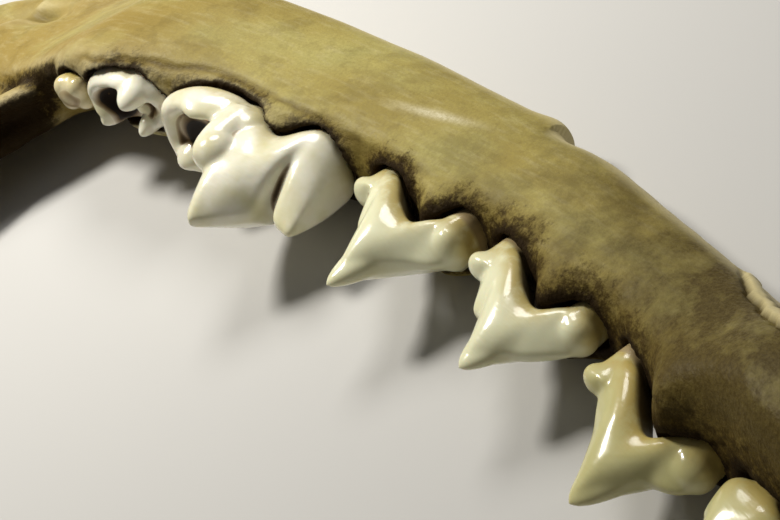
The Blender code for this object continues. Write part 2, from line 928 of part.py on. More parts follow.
def shape_faces(bone):
    """The hollows and holes on the faces of the bone, pressed in along y."""
    mesh = bone.data
    n = len(mesh.vertices)
    co = np.empty(n * 3)
    mesh.vertices.foreach_get("co", co)
    co = co.reshape(n, 3)
    no = np.empty(n * 3)
    mesh.vertices.foreach_get("normal", no)
    no = no.reshape(n, 3)
    outer = np.clip(-no[:, 1] * 1.6, 0, 1)
    inner = np.clip(no[:, 1] * 1.6, 0, 1)
    x, z = co[:, 0], co[:, 2]
    a = math.radians(RAMUS_TILT)
    s = -x * math.cos(a) + z * math.sin(a)
    h = x * math.sin(a) + z * math.cos(a)

    def dent(cx, cz, rx, rz, turn=0.0):
        c, w = math.cos(math.radians(turn)), math.sin(math.radians(turn))
        u = ((x - cx) * c + (z - cz) * w) / rx
        v = (-(x - cx) * w + (z - cz) * c) / rz
        return np.exp(-(u * u + v * v))

    # The hollow for the chewing muscle on the outer face.
    muscle = np.exp(
        -np.abs((s - 11.0 - 0.25 * h) / 6.0) ** 2.6 - np.abs((h - 4.5) / 7.0) ** 2.6
    )
    co[:, 1] += outer * muscle * 0.7
    # Two small holes near the front of the outer face.
    for cx, cz in ((55.5, -3.6), (46.0, -6.4)):
        co[:, 1] += outer * dent(cx, cz, 1.0, 0.7) * 1.1
    # The nerve hole on the inner face, deepest at its front end.
    co[:, 1] -= inner * dent(-11.6, -4.3, 1.6, 0.9, -10) * 0.7
    co[:, 1] -= inner * dent(-14.4, -4.1, 3.5, 1.6, -8) * 1.0
    # The groove up the front border, between its outer crest and its inner ridge.
    front = np.clip(no[:, 0] * 1.6, 0, 1)
    span = np.clip((z - 1.5) / 2.5, 0, 1) * np.clip((13 - z) / 5.0, 0, 1)
    co[:, 0] -= front * span * np.exp(-(((co[:, 1] + 2.2 + 0.06 * z) / 0.75) ** 2)) * 1.1
    mesh.vertices.foreach_set("co", co.ravel())
    mesh.update()


# ---------------------------------------------------------------- putting it together


def lying():
    """The matrix that lays the jaw on its outer side: biting edges towards -Y, front towards +X."""
    return (
        Matrix.Translation(LAY_MOVE)
        @ Matrix.Rotation(math.radians(LAY_TIP), 4, "X")
        @ Matrix.Rotation(math.radians(LAY_HEEL), 4, "Y")
        @ Matrix(((1, 0, 0, 0), (0, 0, -1, 0), (0, 1, 0, 0), (0, 0, 0, 1)))
    )


def main():
    clear_scene()
    scene = bpy.context.scene
    kept = bpy.data.collections.new("young_fox_half_jaw")
    cutters = bpy.data.collections.new("cutters")
    scene.collection.children.link(kept)
    scene.collection.children.link(cutters)
    cutters.hide_render = True

    teeth = [
        make_incisor(1),
        make_incisor(2),
        make_incisor(3),
        make_canine(),
        make_premolar_1(),
        make_premolar_2(),
        make_premolar_3(),
        make_premolar_4(),
        make_molar_1(),
        make_molar_3(),
        make_molar_2(),
    ]
    bone = make_bone()

    enamel = (0.80, 0.76, 0.66)
    for tooth in teeth:
        if tooth.name in PLACES:
            tooth.data.transform(place(tooth.name))
        fused(tooth, 0.16 if tooth.name != "canine" else 0.25, 0.5, 3)
        socket = tooth.copy()
        socket.data = tooth.data.copy()
        socket.name = tooth.name + "_socket"
        scene.collection.objects.link(socket)
        grow = socket.modifiers.new("grow", "DISPLACE")
        grow.strength = GAP + 0.12
        grow.mid_level = 0.0
        baked(socket)
        if tooth.name.startswith("molar"):
            cleared_above(socket)
        fused(socket, 0.3, 0.3, 2)
        thinned(tooth, TOOTH_FACES[tooth.name])
        cut = bone.modifiers.new(socket.name, "BOOLEAN")
        cut.operation = "DIFFERENCE"
        cut.solver = "EXACT"
        cut.object = socket
        baked(bone)
        scene.collection.objects.unlink(socket)
        cutters.objects.link(socket)
        socket.hide_render = True
        socket.display_type = "WIRE"
        tooth.data.materials.clear()
        tooth.data.materials.append(material(tooth.name + "_enamel", enamel, 0.18, 0.4))
    # The socket rims are melted round, as bone grows.
    fused(bone, 0.32, 0.35, 2)
    thinned(bone, BONE_FACES)
    bone.data.materials.clear()
    bone.data.materials.append(material("mandible_bone", (0.55, 0.45, 0.26), 0.55))

    nodes = [bone, *teeth]
    lay = lying()
    for obj in nodes + list(cutters.objects):
        obj.data.transform(lay)
    floor = bmesh.new()
    bmesh.ops.create_cube(floor, size=1.0)
    bmesh.ops.transform(
        floor,
        matrix=Matrix.Translation((0, 0, -5)) @ Matrix.Diagonal((300, 300, 10, 1)),
        verts=floor.verts[:],
    )
    floor = object_of("floor_cut", floor, cutters)
    floor.hide_render = True
    floor.display_type = "WIRE"
    for obj in nodes:
        if min(v.co.z for v in obj.data.vertices) < 0:
            cut = obj.modifiers.new("flats", "BOOLEAN")
            cut.operation = "DIFFERENCE"
            cut.solver = "EXACT"
            cut.object = floor
            baked(obj)
    for obj in nodes + list(cutters.objects):
        obj.data.transform(Matrix.Diagonal((MM, MM, MM, 1)))
    for obj in nodes:
        for other in list(obj.users_collection):
            other.objects.unlink(obj)
        kept.objects.link(obj)


main()
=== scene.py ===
import math

import bmesh
import bpy
import numpy as np
from mathutils import Matrix, Vector, noise
from mathutils.bvhtree import BVHTree


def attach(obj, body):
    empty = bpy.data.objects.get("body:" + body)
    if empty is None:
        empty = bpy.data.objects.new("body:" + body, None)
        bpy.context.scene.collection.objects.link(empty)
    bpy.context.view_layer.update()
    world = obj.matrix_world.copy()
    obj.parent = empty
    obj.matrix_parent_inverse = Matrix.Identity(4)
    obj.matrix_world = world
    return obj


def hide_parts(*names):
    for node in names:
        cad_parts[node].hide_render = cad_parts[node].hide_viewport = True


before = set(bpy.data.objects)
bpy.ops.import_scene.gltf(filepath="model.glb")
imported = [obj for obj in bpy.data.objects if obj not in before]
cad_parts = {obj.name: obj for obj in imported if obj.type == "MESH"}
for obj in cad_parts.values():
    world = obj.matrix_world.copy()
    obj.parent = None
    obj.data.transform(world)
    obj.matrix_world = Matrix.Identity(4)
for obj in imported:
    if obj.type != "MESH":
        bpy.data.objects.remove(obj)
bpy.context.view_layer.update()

# ------------------------------------------------------------------ premolars
# Four blade-like teeth of polished ivory enamel, each with one pointed cusp, a rounded heel behind and a low
# lobe in front, over two limbs that run down into the roots, in a socket of its own. The first has one root.

# Everything is drawn in millimetres in the jaw's own directions, then laid on its outer side: x is forward
# along the tooth row from behind the last molar, y inward to the tongue, z up to the biting edges.
MM = 0.001
LAY_HEEL = 2.85
LAY_TIP = -7.3
LAY_MOVE = (-22.38, 9.64, 6.59)
lying = (
    Matrix.Translation(LAY_MOVE)
    @ Matrix.Rotation(math.radians(LAY_TIP), 4, "X")
    @ Matrix.Rotation(math.radians(LAY_HEEL), 4, "Y")
    @ Matrix(((1, 0, 0, 0), (0, 0, -1, 0), (0, 1, 0, 0), (0, 0, 0, 1)))
)


def laid(piece):
    """Takes a finished piece from jaw millimetres to metres where it lies."""
    piece.data.transform(lying)
    piece.data.transform(Matrix.Diagonal((MM, MM, MM, 1)))
    piece.data.update()


# The tooth row bows outward and sags in its middle.
ROW_LENGTH = 60.0
ROW_BOW = 1.17
ROW_SAG = 4.43


def row_side(x):
    """How far in the row's middle line lies, in mm, at x along the row."""
    u = (x - ROW_LENGTH / 2) / (ROW_LENGTH / 2)
    return -ROW_BOW * (1 - u * u)


def row_height(x):
    """How high the row lies, in mm, at x along the row."""
    u = (x - ROW_LENGTH / 2) / (ROW_LENGTH / 2)
    return -ROW_SAG * (1 - u * u)


def placed(piece, x, inward, up, nose_up, nose_in, lean):
    """Moves a tooth from its own middle to its place in the row, turned to the row's line."""
    pitch = math.radians(nose_up) + math.atan(row_height(x + 0.5) - row_height(x - 0.5))
    yaw = math.radians(nose_in) + math.atan(row_side(x + 0.5) - row_side(x - 0.5))
    turn = (
        Matrix.Rotation(yaw, 4, "Z")
        @ Matrix.Rotation(-pitch, 4, "Y")
        @ Matrix.Rotation(math.radians(lean), 4, "X")
    )
    move = Matrix.Translation((x, row_side(x) + inward, row_height(x) + up))
    piece.data.transform(move @ turn)


def along(knots, x):
    """A smooth value between knots (x, value), flat beyond the ends."""
    xs = [k[0] for k in knots]
    vs = [k[1] for k in knots]
    if x <= xs[0]:
        return vs[0]
    if x >= xs[-1]:
        return vs[-1]
    i = max(k for k in range(len(xs) - 1) if xs[k] <= x)
    h = xs[i + 1] - xs[i]
    u = (x - xs[i]) / h

    def tangent(k):
        if k == 0 or k == len(xs) - 1:
            return 0.0
        a = (vs[k] - vs[k - 1]) / (xs[k] - xs[k - 1])
        b = (vs[k + 1] - vs[k]) / (xs[k + 1] - xs[k])
        return 0.0 if a * b <= 0 else 2 * a * b / (a + b)

    m0, m1 = tangent(i) * h, tangent(i + 1) * h
    return (
        (2 * u**3 - 3 * u**2 + 1) * vs[i]
        + (u**3 - 2 * u**2 + u) * m0
        + (-2 * u**3 + 3 * u**2) * vs[i + 1]
        + (u**3 - u**2) * m1
    )


def power(v, e):
    """Raises the size of v and keeps its sign: less than 1 squares an oval."""
    return math.copysign(abs(v) ** e, v)


def skin(bm, rings, across=False):
    """Skins rings of equally many points and closes both ends, in strips straight across if asked."""
    layers = [[bm.verts.new(p) for p in ring] for ring in rings]
    for a, b in zip(layers, layers[1:]):
        for i in range(len(a)):
            j = (i + 1) % len(a)
            bm.faces.new((a[i], a[j], b[j], b[i]))
    for ring, flip in ((layers[0], True), (layers[-1], False)):
        n = len(ring)
        strips = [(i, i + 1, n - 2 - i, n - 1 - i) for i in range(n // 2 - 1)]
        for face in strips if across else [tuple(range(n))]:
            corners = [ring[k] for k in face]
            bm.faces.new(corners[::-1] if flip else corners)


BLADE_LEVELS = (0.0, 0.06, 0.13, 0.22, 0.33, 0.45, 0.57, 0.68, 0.78, 0.86, 0.92, 0.96, 0.985, 1.0)
BLADE_BULGE = 0.22
NECK_SHARE = 0.84
CREST_INSET = 0.35


def blade(
    bm, x0, x1, width, crest, neck, fat, edge,
    columns=96, plan=0.92, waist=None, pinch=None, swell=None, tuck=None,
):
    """A crown shaped like a roof: an oval neck, a bulge above it, and flanks that close in to the crest line.

    fat rounds the flanks, and edge is the share of the width left at the crest. plan squares the outline seen
    from above. waist (place, reach, depth, lean, full) parts two lobes near the crest and keeps them joined
    below it. pinch (place, reach, depth) narrows the neck, and swell widens it. tuck (start, share) draws the
    outer flank in towards the front.
    """
    length, middle = x1 - x0, (x0 + x1) / 2
    rings = []
    for t in BLADE_LEVELS:
        grow = NECK_SHARE + (1 - NECK_SHARE) * math.sin(min(t / BLADE_BULGE, 1.0) * math.pi / 2)
        rise = max(0.0, (t - BLADE_BULGE) / (1 - BLADE_BULGE))
        shut = 1 - rise**fat * (1 - edge)
        ring = []
        for k in range(columns):
            a = 2 * math.pi * (k + 0.5) / columns
            bx = power(math.cos(a), 0.86) * length / 2
            by = power(math.sin(a), plan) * width / 2
            cx = math.cos(a) * (length / 2 - CREST_INSET)
            x = bx * grow * (1 - rise**1.5) + cx * rise**1.5
            squeeze = 1.0
            if waist:
                at, reach, depth, lean, full = waist
                near = math.exp(-(((middle + x - at + lean * (1 - rise)) / reach) ** 2))
                squeeze -= depth * near * min(1.0, max(0.0, rise - 0.35) * 1.6)
                shut = 1 - rise ** (fat + full * near) * (1 - edge)
            if pinch:
                at, reach, depth = pinch
                squeeze -= depth * math.exp(-(((middle + x - at) / reach) ** 2)) * (1 - rise)
            if swell:
                at, reach, more = swell
                squeeze += more * math.exp(-(((middle + x - at) / reach) ** 2)) * (1 - rise)
            if tuck and by < 0:
                start, share = tuck
                squeeze *= 1 - share * min(1.0, max(0.0, (middle + x - start) / (x1 - start)))
            low = along(neck, middle + bx * grow)
            top = along(crest, middle + cx)
            ring.append((middle + x, by * grow * shut * squeeze, low + (top - low) * t))
        rings.append(ring)
    skin(bm, rings, across=True)


def spike(bm, foot, tip, wide, deep, round_top, sides=40):
    """A rounded cusp or root: a cone from its foot to its tip, with a rounded end and an oval section."""
    foot, tip = Vector(foot), Vector(tip)
    rings = []
    for t in (0, 0.15, 0.35, 0.55, 0.72, 0.85, 0.94, 0.985, 1.0):
        r = (1 - t) ** 0.75 * (1 - round_top) + round_top * math.sqrt(max(0.0, 1 - t**3))
        r, c = max(r, 0.05), foot.lerp(tip, t)
        ring = []
        for k in range(sides):
            a = 2 * math.pi * k / sides
            ring.append((c.x + wide * r * math.cos(a), c.y + deep * r * math.sin(a), c.z))
        rings.append(ring)
    if tip.z < foot.z:
        rings.reverse()
    skin(bm, rings)


def ball(bm, centre, radii):
    """A rounded lump with three radii."""
    made = bmesh.ops.create_icosphere(bm, subdivisions=4, radius=1.0)
    for v in made["verts"]:
        v.co = Vector([c + u * r for c, u, r in zip(centre, v.co, radii)])


def put(name, data):
    """Puts a new object with this data in the scene."""
    made = bpy.data.objects.new(name, data)
    bpy.context.scene.collection.objects.link(made)
    return made


def piece_of(name, bm):
    """Makes a named piece from drawn shapes."""
    bmesh.ops.recalc_face_normals(bm, faces=bm.faces[:])
    mesh = bpy.data.meshes.new(name)
    bm.to_mesh(mesh)
    bm.free()
    return put(name, mesh)


def baked(piece):
    """Applies every modifier."""
    graph = bpy.context.evaluated_depsgraph_get()
    mesh = bpy.data.meshes.new_from_object(piece.evaluated_get(graph))
    piece.modifiers.clear()
    piece.data = mesh


def melted(piece, voxel, soften, passes):
    """Melts overlapping closed shapes into one skin."""
    mod = piece.modifiers.new("melt", "REMESH")
    mod.mode = "VOXEL"
    mod.voxel_size = voxel
    mod.adaptivity = 0.0
    smooth = piece.modifiers.new("soften", "SMOOTH")
    smooth.factor = soften
    smooth.iterations = passes
    baked(piece)


def rows_of(mesh, which):
    """Each vertex's place ("co") or outward direction ("normal"), as rows of x, y and z."""
    flat = np.empty(len(mesh.vertices) * 3, dtype=np.float32)
    mesh.vertices.foreach_get(which, flat)
    return flat.reshape(-1, 3).astype(np.float64)


def relaxed(mesh, values, passes):
    """Averages values over neighbouring vertices, again and again."""
    edges = np.empty(len(mesh.edges) * 2, dtype=np.int32)
    mesh.edges.foreach_get("vertices", edges)
    edges = edges.reshape(-1, 2)
    a = np.concatenate([edges[:, 0], edges[:, 1]])
    b = np.concatenate([edges[:, 1], edges[:, 0]])
    n = len(values)
    count = np.maximum(np.bincount(a, minlength=n), 1)
    out = values.copy()
    for _ in range(passes):
        if out.ndim == 1:
            out = np.bincount(a, weights=out[b], minlength=n) / count
        else:
            columns = [np.bincount(a, weights=out[b, k], minlength=n) / count for k in range(out.shape[1])]
            out = np.stack(columns, 1)
    return out


def hollow(mesh, passes):
    """How far each vertex lies below its surroundings, in mm: positive in a hollow, negative on a ridge."""
    points = rows_of(mesh, "co")
    return ((relaxed(mesh, points, passes) - points) * rows_of(mesh, "normal")).sum(1)


def painted(mesh, name, values):
    """Stores one value, or one vector, for each vertex, for the materials to read."""
    vector = values.ndim == 2
    layer = mesh.attributes.new(name, "FLOAT_VECTOR" if vector else "FLOAT", "POINT")
    layer.data.foreach_set("vector" if vector else "value", values.astype(np.float32).ravel())


def ramp(v, lo, hi):
    """0 below lo, 1 above hi, and smooth between. lo may be the larger."""
    t = np.clip((v - lo) / (hi - lo), 0.0, 1.0)
    return t * t * (3 - 2 * t)


def smoothed(mesh):
    """Shades a mesh smoothly."""
    for face in mesh.polygons:
        face.use_smooth = True


ENAMEL_VOXEL = 0.11
NECK_BAND = 1.8
PIT_SLOPE = 0.6


def carved(piece, neck, voxel=ENAMEL_VOXEL, pits=()):
    """Melts a tooth's shapes together and marks its neck, its root and its hollows.

    pits are basins darkened with brown stain and painted shade: x, y, reach along, reach across and height of
    the rim.
    """
    melted(piece, voxel, 0.5, 15)
    mesh = piece.data
    co = rows_of(mesh, "co")
    height = co[:, 2] - np.array([along(neck, x) for x in co[:, 0]])
    painted(mesh, "neck", ramp(height, NECK_BAND, 0.1))
    painted(mesh, "root", ramp(height, 0.12, -0.12))
    deep = 0.65 * ramp(hollow(mesh, 60), 0.045, 0.19)
    for x, y, wide, across, rim_height in pits:
        out = np.sqrt(((co[:, 0] - x) / wide) ** 2 + ((co[:, 1] - y) / across) ** 2)
        deep = np.maximum(deep, ramp(out, 1.05, 0.5) * ramp(co[:, 2], rim_height, rim_height - PIT_SLOPE))
    painted(mesh, "hollow", deep)
    painted(mesh, "grain", co)
    smoothed(mesh)


def wire(tree, kind, settings=(), ins=()):
    """Adds a node. settings are its properties; ins are its inputs by name or number, as values or links."""
    made = tree.nodes.new(kind)
    for key, value in dict(settings).items():
        setattr(made, key, value)
    for key, value in dict(ins).items():
        if isinstance(value, bpy.types.NodeSocket):
            tree.links.new(value, made.inputs[key])
        else:
            made.inputs[key].default_value = value
    return made


def mixed(tree, factor, a, b):
    """Mixes two colours."""
    return wire(tree, "ShaderNodeMix", {"data_type": "RGBA"}, {0: factor, 6: a, 7: b}).outputs[2]


def calc(tree, kind, a, b, c=0.0, clamp=False):
    """One step of arithmetic on masks."""
    made = wire(tree, "ShaderNodeMath", {"operation": kind, "use_clamp": clamp}, {0: a, 1: b, 2: c})
    return made.outputs[0]


def speckle(tree, where, scale, detail, rough=0.5, stretch=None):
    """Noise from 0 to 1, at so many spots per mm, stretched along the jaw if asked."""
    if stretch:
        where = wire(tree, "ShaderNodeMapping", (), {"Vector": where, "Scale": stretch}).outputs[0]
    values = {"Vector": where, "Scale": scale, "Detail": detail, "Roughness": rough}
    return wire(tree, "ShaderNodeTexNoise", (), values).outputs["Fac"]


def spread(tree, value, lo, hi):
    """Stretches the part of a mask between lo and hi over 0 to 1. lo may be the larger."""
    made = wire(tree, "ShaderNodeMapRange", {"clamp": True}, {0: value, 1: lo, 2: hi, 3: 0.0, 4: 1.0})
    return made.outputs[0]


def painted_mask(tree, name, output="Fac"):
    """Reads what painted() stored on the mesh."""
    return wire(tree, "ShaderNodeAttribute", {"attribute_name": name}).outputs[output]


def shader_of(matter):
    """The tree and the shader of a new material."""
    matter.use_nodes = True
    tree = matter.node_tree
    return tree, next(n for n in tree.nodes if n.type == "BSDF_PRINCIPLED")


def group_of(name, inputs, outputs):
    """An empty node group with named sockets, and its input and output nodes."""
    tree = bpy.data.node_groups.new(name, "ShaderNodeTree")
    for label, kind, value in inputs:
        socket = tree.interface.new_socket(name=label, in_out="INPUT", socket_type=kind)
        socket.default_value = value
    for label, kind in outputs:
        tree.interface.new_socket(name=label, in_out="OUTPUT", socket_type=kind)
    return tree, tree.nodes.new("NodeGroupInput"), tree.nodes.new("NodeGroupOutput")


# What enamel shows: an ivory body that yellows to the neck, brown stain in its hollows with painted shade
# that darkens the deepest of them nearly to black, dull root below the neck, and fine growth lines.
enamel_wear_and_shade, taken, given = group_of(
    "enamel_wear_and_shade",
    (
        ("Ivory", "NodeSocketColor", (0.80, 0.77, 0.60, 1)),
        ("Neck tint", "NodeSocketColor", (0.47, 0.36, 0.11, 1)),
        ("Stain_and_shade", "NodeSocketColor", (0.010, 0.004, 0.001, 1)),
        ("Root", "NodeSocketColor", (0.30, 0.22, 0.10, 1)),
        ("Neck", "NodeSocketFloat", 0.5),
        ("Stain_and_shade_amount", "NodeSocketFloat", 0.8),
        ("Gloss", "NodeSocketFloat", 0.35),
    ),
    (
        ("Color", "NodeSocketColor"),
        ("Roughness", "NodeSocketFloat"),
        ("Coat", "NodeSocketFloat"),
        ("Height", "NodeSocketFloat"),
    ),
)
CREAM_CLOUDS = (0.66, 0.62, 0.35, 1)
TAN_STAIN = (0.36, 0.19, 0.035, 1)
t = enamel_wear_and_shade
grain = painted_mask(t, "grain", "Vector")
at_neck, at_root, in_hollow = painted_mask(t, "neck"), painted_mask(t, "root"), painted_mask(t, "hollow")
cloud = speckle(t, grain, 0.45, 3.0)
body_tint = mixed(t, spread(t, cloud, 0.4, 0.75), taken.outputs["Ivory"], CREAM_CLOUDS)
patchy = spread(t, speckle(t, grain, 0.9, 4.0, 0.6), 0.2, 0.52)
yellowing = calc(t, "MULTIPLY", calc(t, "MULTIPLY", at_neck, patchy), taken.outputs["Neck"], clamp=True)
yellowed = mixed(t, yellowing, body_tint, taken.outputs["Neck tint"])
# The hollows take brown stain and painted shade, scaled by each material's amount.
dirt_and_shade = calc(t, "MULTIPLY", spread(t, in_hollow, 0.1, 0.75), taken.outputs["Stain_and_shade_amount"])
fine = spread(t, speckle(t, grain, 2.2, 4.0, 0.65), -0.25, 0.35)
soil_and_shade = calc(t, "MULTIPLY", dirt_and_shade, fine, clamp=True)
tanned = mixed(t, calc(t, "POWER", soil_and_shade, 0.5), yellowed, TAN_STAIN)
# The deepest hollows get painted shade, nearly black.
stained_and_shaded = mixed(t, calc(t, "POWER", soil_and_shade, 1.3), tanned, taken.outputs["Stain_and_shade"])
t.links.new(mixed(t, at_root, stained_and_shaded, taken.outputs["Root"]), given.inputs["Color"])
dull = calc(t, "MULTIPLY_ADD", at_root, 0.4, 0.16)
dull = calc(t, "MULTIPLY_ADD", speckle(t, grain, 1.4, 3.0), 0.12, dull)
t.links.new(calc(t, "MULTIPLY_ADD", in_hollow, 0.7, dull, clamp=True), given.inputs["Roughness"])
clean = calc(t, "SUBTRACT", 1.0, calc(t, "MAXIMUM", in_hollow, at_root), clamp=True)
t.links.new(calc(t, "MULTIPLY", clean, taken.outputs["Gloss"]), given.inputs["Coat"])
lines = speckle(t, grain, 1.0, 2.0, 0.5, (0.6, 0.6, 7.0))
t.links.new(calc(t, "MULTIPLY_ADD", speckle(t, grain, 3.0, 3.0), 0.5, lines), given.inputs["Height"])


def enamel(name, ivory, neck, dirt_and_shade, gloss=0.35):
    """Polished enamel with its own tint, share of yellow at the neck, brown stain and painted shade in its
    hollows, and gloss.
    """
    made = bpy.data.materials.new(name)
    tree, shader = shader_of(made)
    wear_and_shade = tree.nodes.new("ShaderNodeGroup")
    wear_and_shade.node_tree = enamel_wear_and_shade
    wear_and_shade.inputs["Ivory"].default_value = (*ivory, 1)
    wear_and_shade.inputs["Neck"].default_value = neck
    wear_and_shade.inputs["Stain_and_shade_amount"].default_value = dirt_and_shade
    wear_and_shade.inputs["Gloss"].default_value = gloss
    tree.links.new(wear_and_shade.outputs["Color"], shader.inputs["Base Color"])
    tree.links.new(wear_and_shade.outputs["Roughness"], shader.inputs["Roughness"])
    growth = {"Strength": 0.25, "Distance": 0.00003, "Height": wear_and_shade.outputs["Height"]}
    bump = wire(tree, "ShaderNodeBump", (), growth)
    tree.links.new(bump.outputs[0], shader.inputs["Normal"])
    tree.links.new(wear_and_shade.outputs["Coat"], shader.inputs["Coat Weight"])
    shader.inputs["Coat Roughness"].default_value = 0.06
    shader.inputs["Subsurface Weight"].default_value = 0.18
    shader.inputs["Subsurface Radius"].default_value = (1.0, 0.7, 0.4)
    shader.inputs["Subsurface Scale"].default_value = 0.0006
    shader.inputs["Specular IOR Level"].default_value = 0.35
    return made


# Each tooth's shape in jaw millimetres, kept for its socket.
moulds = {}


def set_in(name, tooth, matter):
    """Keeps a mould of a finished tooth, lays it down and lets it take the place of its solid."""
    moulds[name] = tooth.data.copy()
    laid(tooth)
    tooth.data.materials.append(matter)
    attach(tooth, "root")
    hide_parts(name)


def premolar(name, matter, length, width, crest, notch, roots, seat, peak=None):
    """Draws a premolar, in mm from its back end.

    crest is its biting edge, and its neck line arches highest over the notch between two roots. Each root is
    place, half width and depth. seat is its place in the row, and peak the place and height of the main cusp.
    """
    half = length / 2
    arch = [(0.0, 0.35), (0.16, -0.1), (0.26, 0.05), (0.37, 0.65), (0.5, 1.5)]
    rise = [(share * length, z) for share, z in arch]
    rise += [(notch, 1.95), (notch + 0.12 * length, 1.15), (notch + 0.21 * length, 0.5), (length, 0.5)]
    if len(roots) == 1:
        rise = [(0, 0.5), (half, 0.2), (length, 0.6)]
    neck = [(x - half, z) for x, z in rise]
    bm = bmesh.new()
    line = [(x - half, z) for x, z in crest]
    blade(bm, 0.3 - half, half - 0.15, width, line, neck, pinch=(notch - half, 1.2, 0.2), fat=1.6, edge=0.2)
    if peak:
        # The heel behind, the low lobe in front and the rounded point of the main cusp.
        ball(bm, (0.95 - half, 0.12 * width, 1.35), (0.9, width * 0.26, 0.65))
        ball(bm, (half - 0.98, 0.05 * width, 1.55), (1.0, width * 0.34, 0.9))
        spike(bm, (peak[0] + 0.3 - half, 0, 2.2), (peak[0] - half, 0, peak[1]), 1.55, width * 0.3, 0.4)
    for at, wide, depth in roots:
        spike(bm, (at - half, 0, 1.6), ((at - half) * 1.12, 0, -depth), wide, width * 0.4, 0.45)
    tooth = piece_of(name + "_crown", bm)
    carved(tooth, neck)
    placed(tooth, *seat)
    set_in(name, tooth, matter)


premolar_enamel = enamel("premolar_enamel", ivory=(0.78, 0.77, 0.53), neck=0.9, dirt_and_shade=1.0, gloss=0.4)
# The small premolars' enamel is darker: partly their own duller tint, partly painted shade for the weaker
# light at the front of the row.
shaded_small_premolar_enamel = enamel("shaded_small_premolar_enamel", ivory=(0.54, 0.505, 0.24), neck=1.0, dirt_and_shade=1.0)
premolar(
    "premolar_4",
    premolar_enamel,
    length=9.3,
    width=3.7,
    crest=(
        (0.0, 1.0), (0.5, 1.5), (1.2, 1.65), (1.9, 2.3), (2.35, 3.1), (2.75, 3.4), (3.15, 3.5), (3.7, 4.5),
        (4.2, 5.4), (4.75, 6.0), (5.2, 5.5), (5.7, 4.8), (6.4, 4.1), (7.2, 3.5), (8.3, 2.9), (8.9, 2.3),
        (9.3, 1.7),
    ),
    notch=6.0,
    roots=((1.65, 1.35, 5.0), (7.9, 1.15, 5.0)),
    seat=(31.31, 0.01, -0.22, 0.9, 2.5, -2.8),
    peak=(4.75, 6.85),
)
premolar(
    "premolar_3",
    premolar_enamel,
    length=8.7,
    width=3.1,
    crest=(
        (0.0, 1.2), (0.5, 1.6), (1.1, 1.8), (2.0, 2.75), (2.65, 3.5), (3.05, 3.5), (3.5, 4.1), (4.1, 5.0),
        (4.55, 5.5), (5.1, 5.1), (6.0, 4.2), (6.7, 3.8), (7.8, 2.9), (8.4, 2.3), (8.7, 1.6),
    ),
    notch=5.6,
    roots=((1.6, 1.3, 4.4), (7.4, 1.05, 4.2)),
    seat=(41.03, 0.15, -0.29, -4.2, -1.8, 0.6),
    peak=(4.6, 6.05),
)
premolar(
    "premolar_2",
    shaded_small_premolar_enamel,
    length=8.2,
    width=2.9,
    crest=(
        (0.0, 1.2), (0.5, 1.6), (1.1, 1.7), (1.8, 2.35), (2.85, 3.4), (3.6, 4.5), (4.05, 5.2), (4.45, 5.6),
        (4.9, 5.1), (5.8, 3.9), (6.3, 3.2), (7.0, 2.95), (7.7, 2.5), (8.2, 1.6),
    ),
    notch=5.0,
    roots=((1.4, 1.1, 4.0), (7.0, 0.95, 3.8)),
    seat=(50.49, -0.18, 0.38, -3.2, -3.7, 6.9),
    peak=(4.5, 5.95),
)
premolar(
    "premolar_1",
    shaded_small_premolar_enamel,
    length=4.3,
    width=2.4,
    crest=((0.0, 1.4), (0.5, 2.25), (1.1, 2.6), (1.9, 3.5), (2.6, 3.0), (3.6, 2.1), (4.3, 1.4)),
    notch=2.1,
    roots=((2.15, 1.2, 3.6),),
    seat=(57.31, 0.11, 0.36, -0.9, 2.2, 1.5),
)

# ------------------------------------------------------------------ molars
# The first molar is the carnassial: a two-lobed blade, an inner cusp, and a low basin behind with a thick
# rolled rim. The second is all basin and low cusps, the third a peg. All are ivory enamel with brown stain
# and painted shade in their hollows, held in the bone by one or two roots.


# Shares of the outline and of the rim's height, up the outside to the rim, and then down to the floor.
BASIN_STEPS = (
    (0.84, 0.0), (0.95, 0.15), (1.0, 0.4), (0.97, 0.7), (0.88, 0.93), (0.78, 1.0), (0.67, 0.84), (0.53, 0.3),
    (0.34, 0.04), (0.1, 0.0),
)
BASIN_OUTSIDE = 6
BASIN_SIDES = 80


def basin(bm, x0, x1, y0, y1, neck, rim, floor, square=0.85):
    """A crown with a hollow in the top. rim is its height by the angle in degrees, from the front inward."""
    cx, cy, a, b = (x0 + x1) / 2, (y0 + y1) / 2, (x1 - x0) / 2, (y1 - y0) / 2
    rings = []
    for n, (out, up) in enumerate(BASIN_STEPS):
        ring = []
        for k in range(BASIN_SIDES):
            turn = 2 * math.pi * k / BASIN_SIDES
            px = cx + power(math.cos(turn), square) * a * out
            py = cy + power(math.sin(turn), square) * b * out
            low = along(neck, px) if n < BASIN_OUTSIDE else floor
            ring.append((px, py, low + (along(rim, math.degrees(turn)) - low) * up))
        rings.append(ring)
    skin(bm, rings)


molar_enamel = enamel("molar_enamel", ivory=(0.90, 0.87, 0.72), neck=0.6, dirt_and_shade=1.0, gloss=0.45)
peg_enamel = enamel("peg_enamel", ivory=(0.78, 0.68, 0.46), neck=1.2, dirt_and_shade=1.0, gloss=0.45)

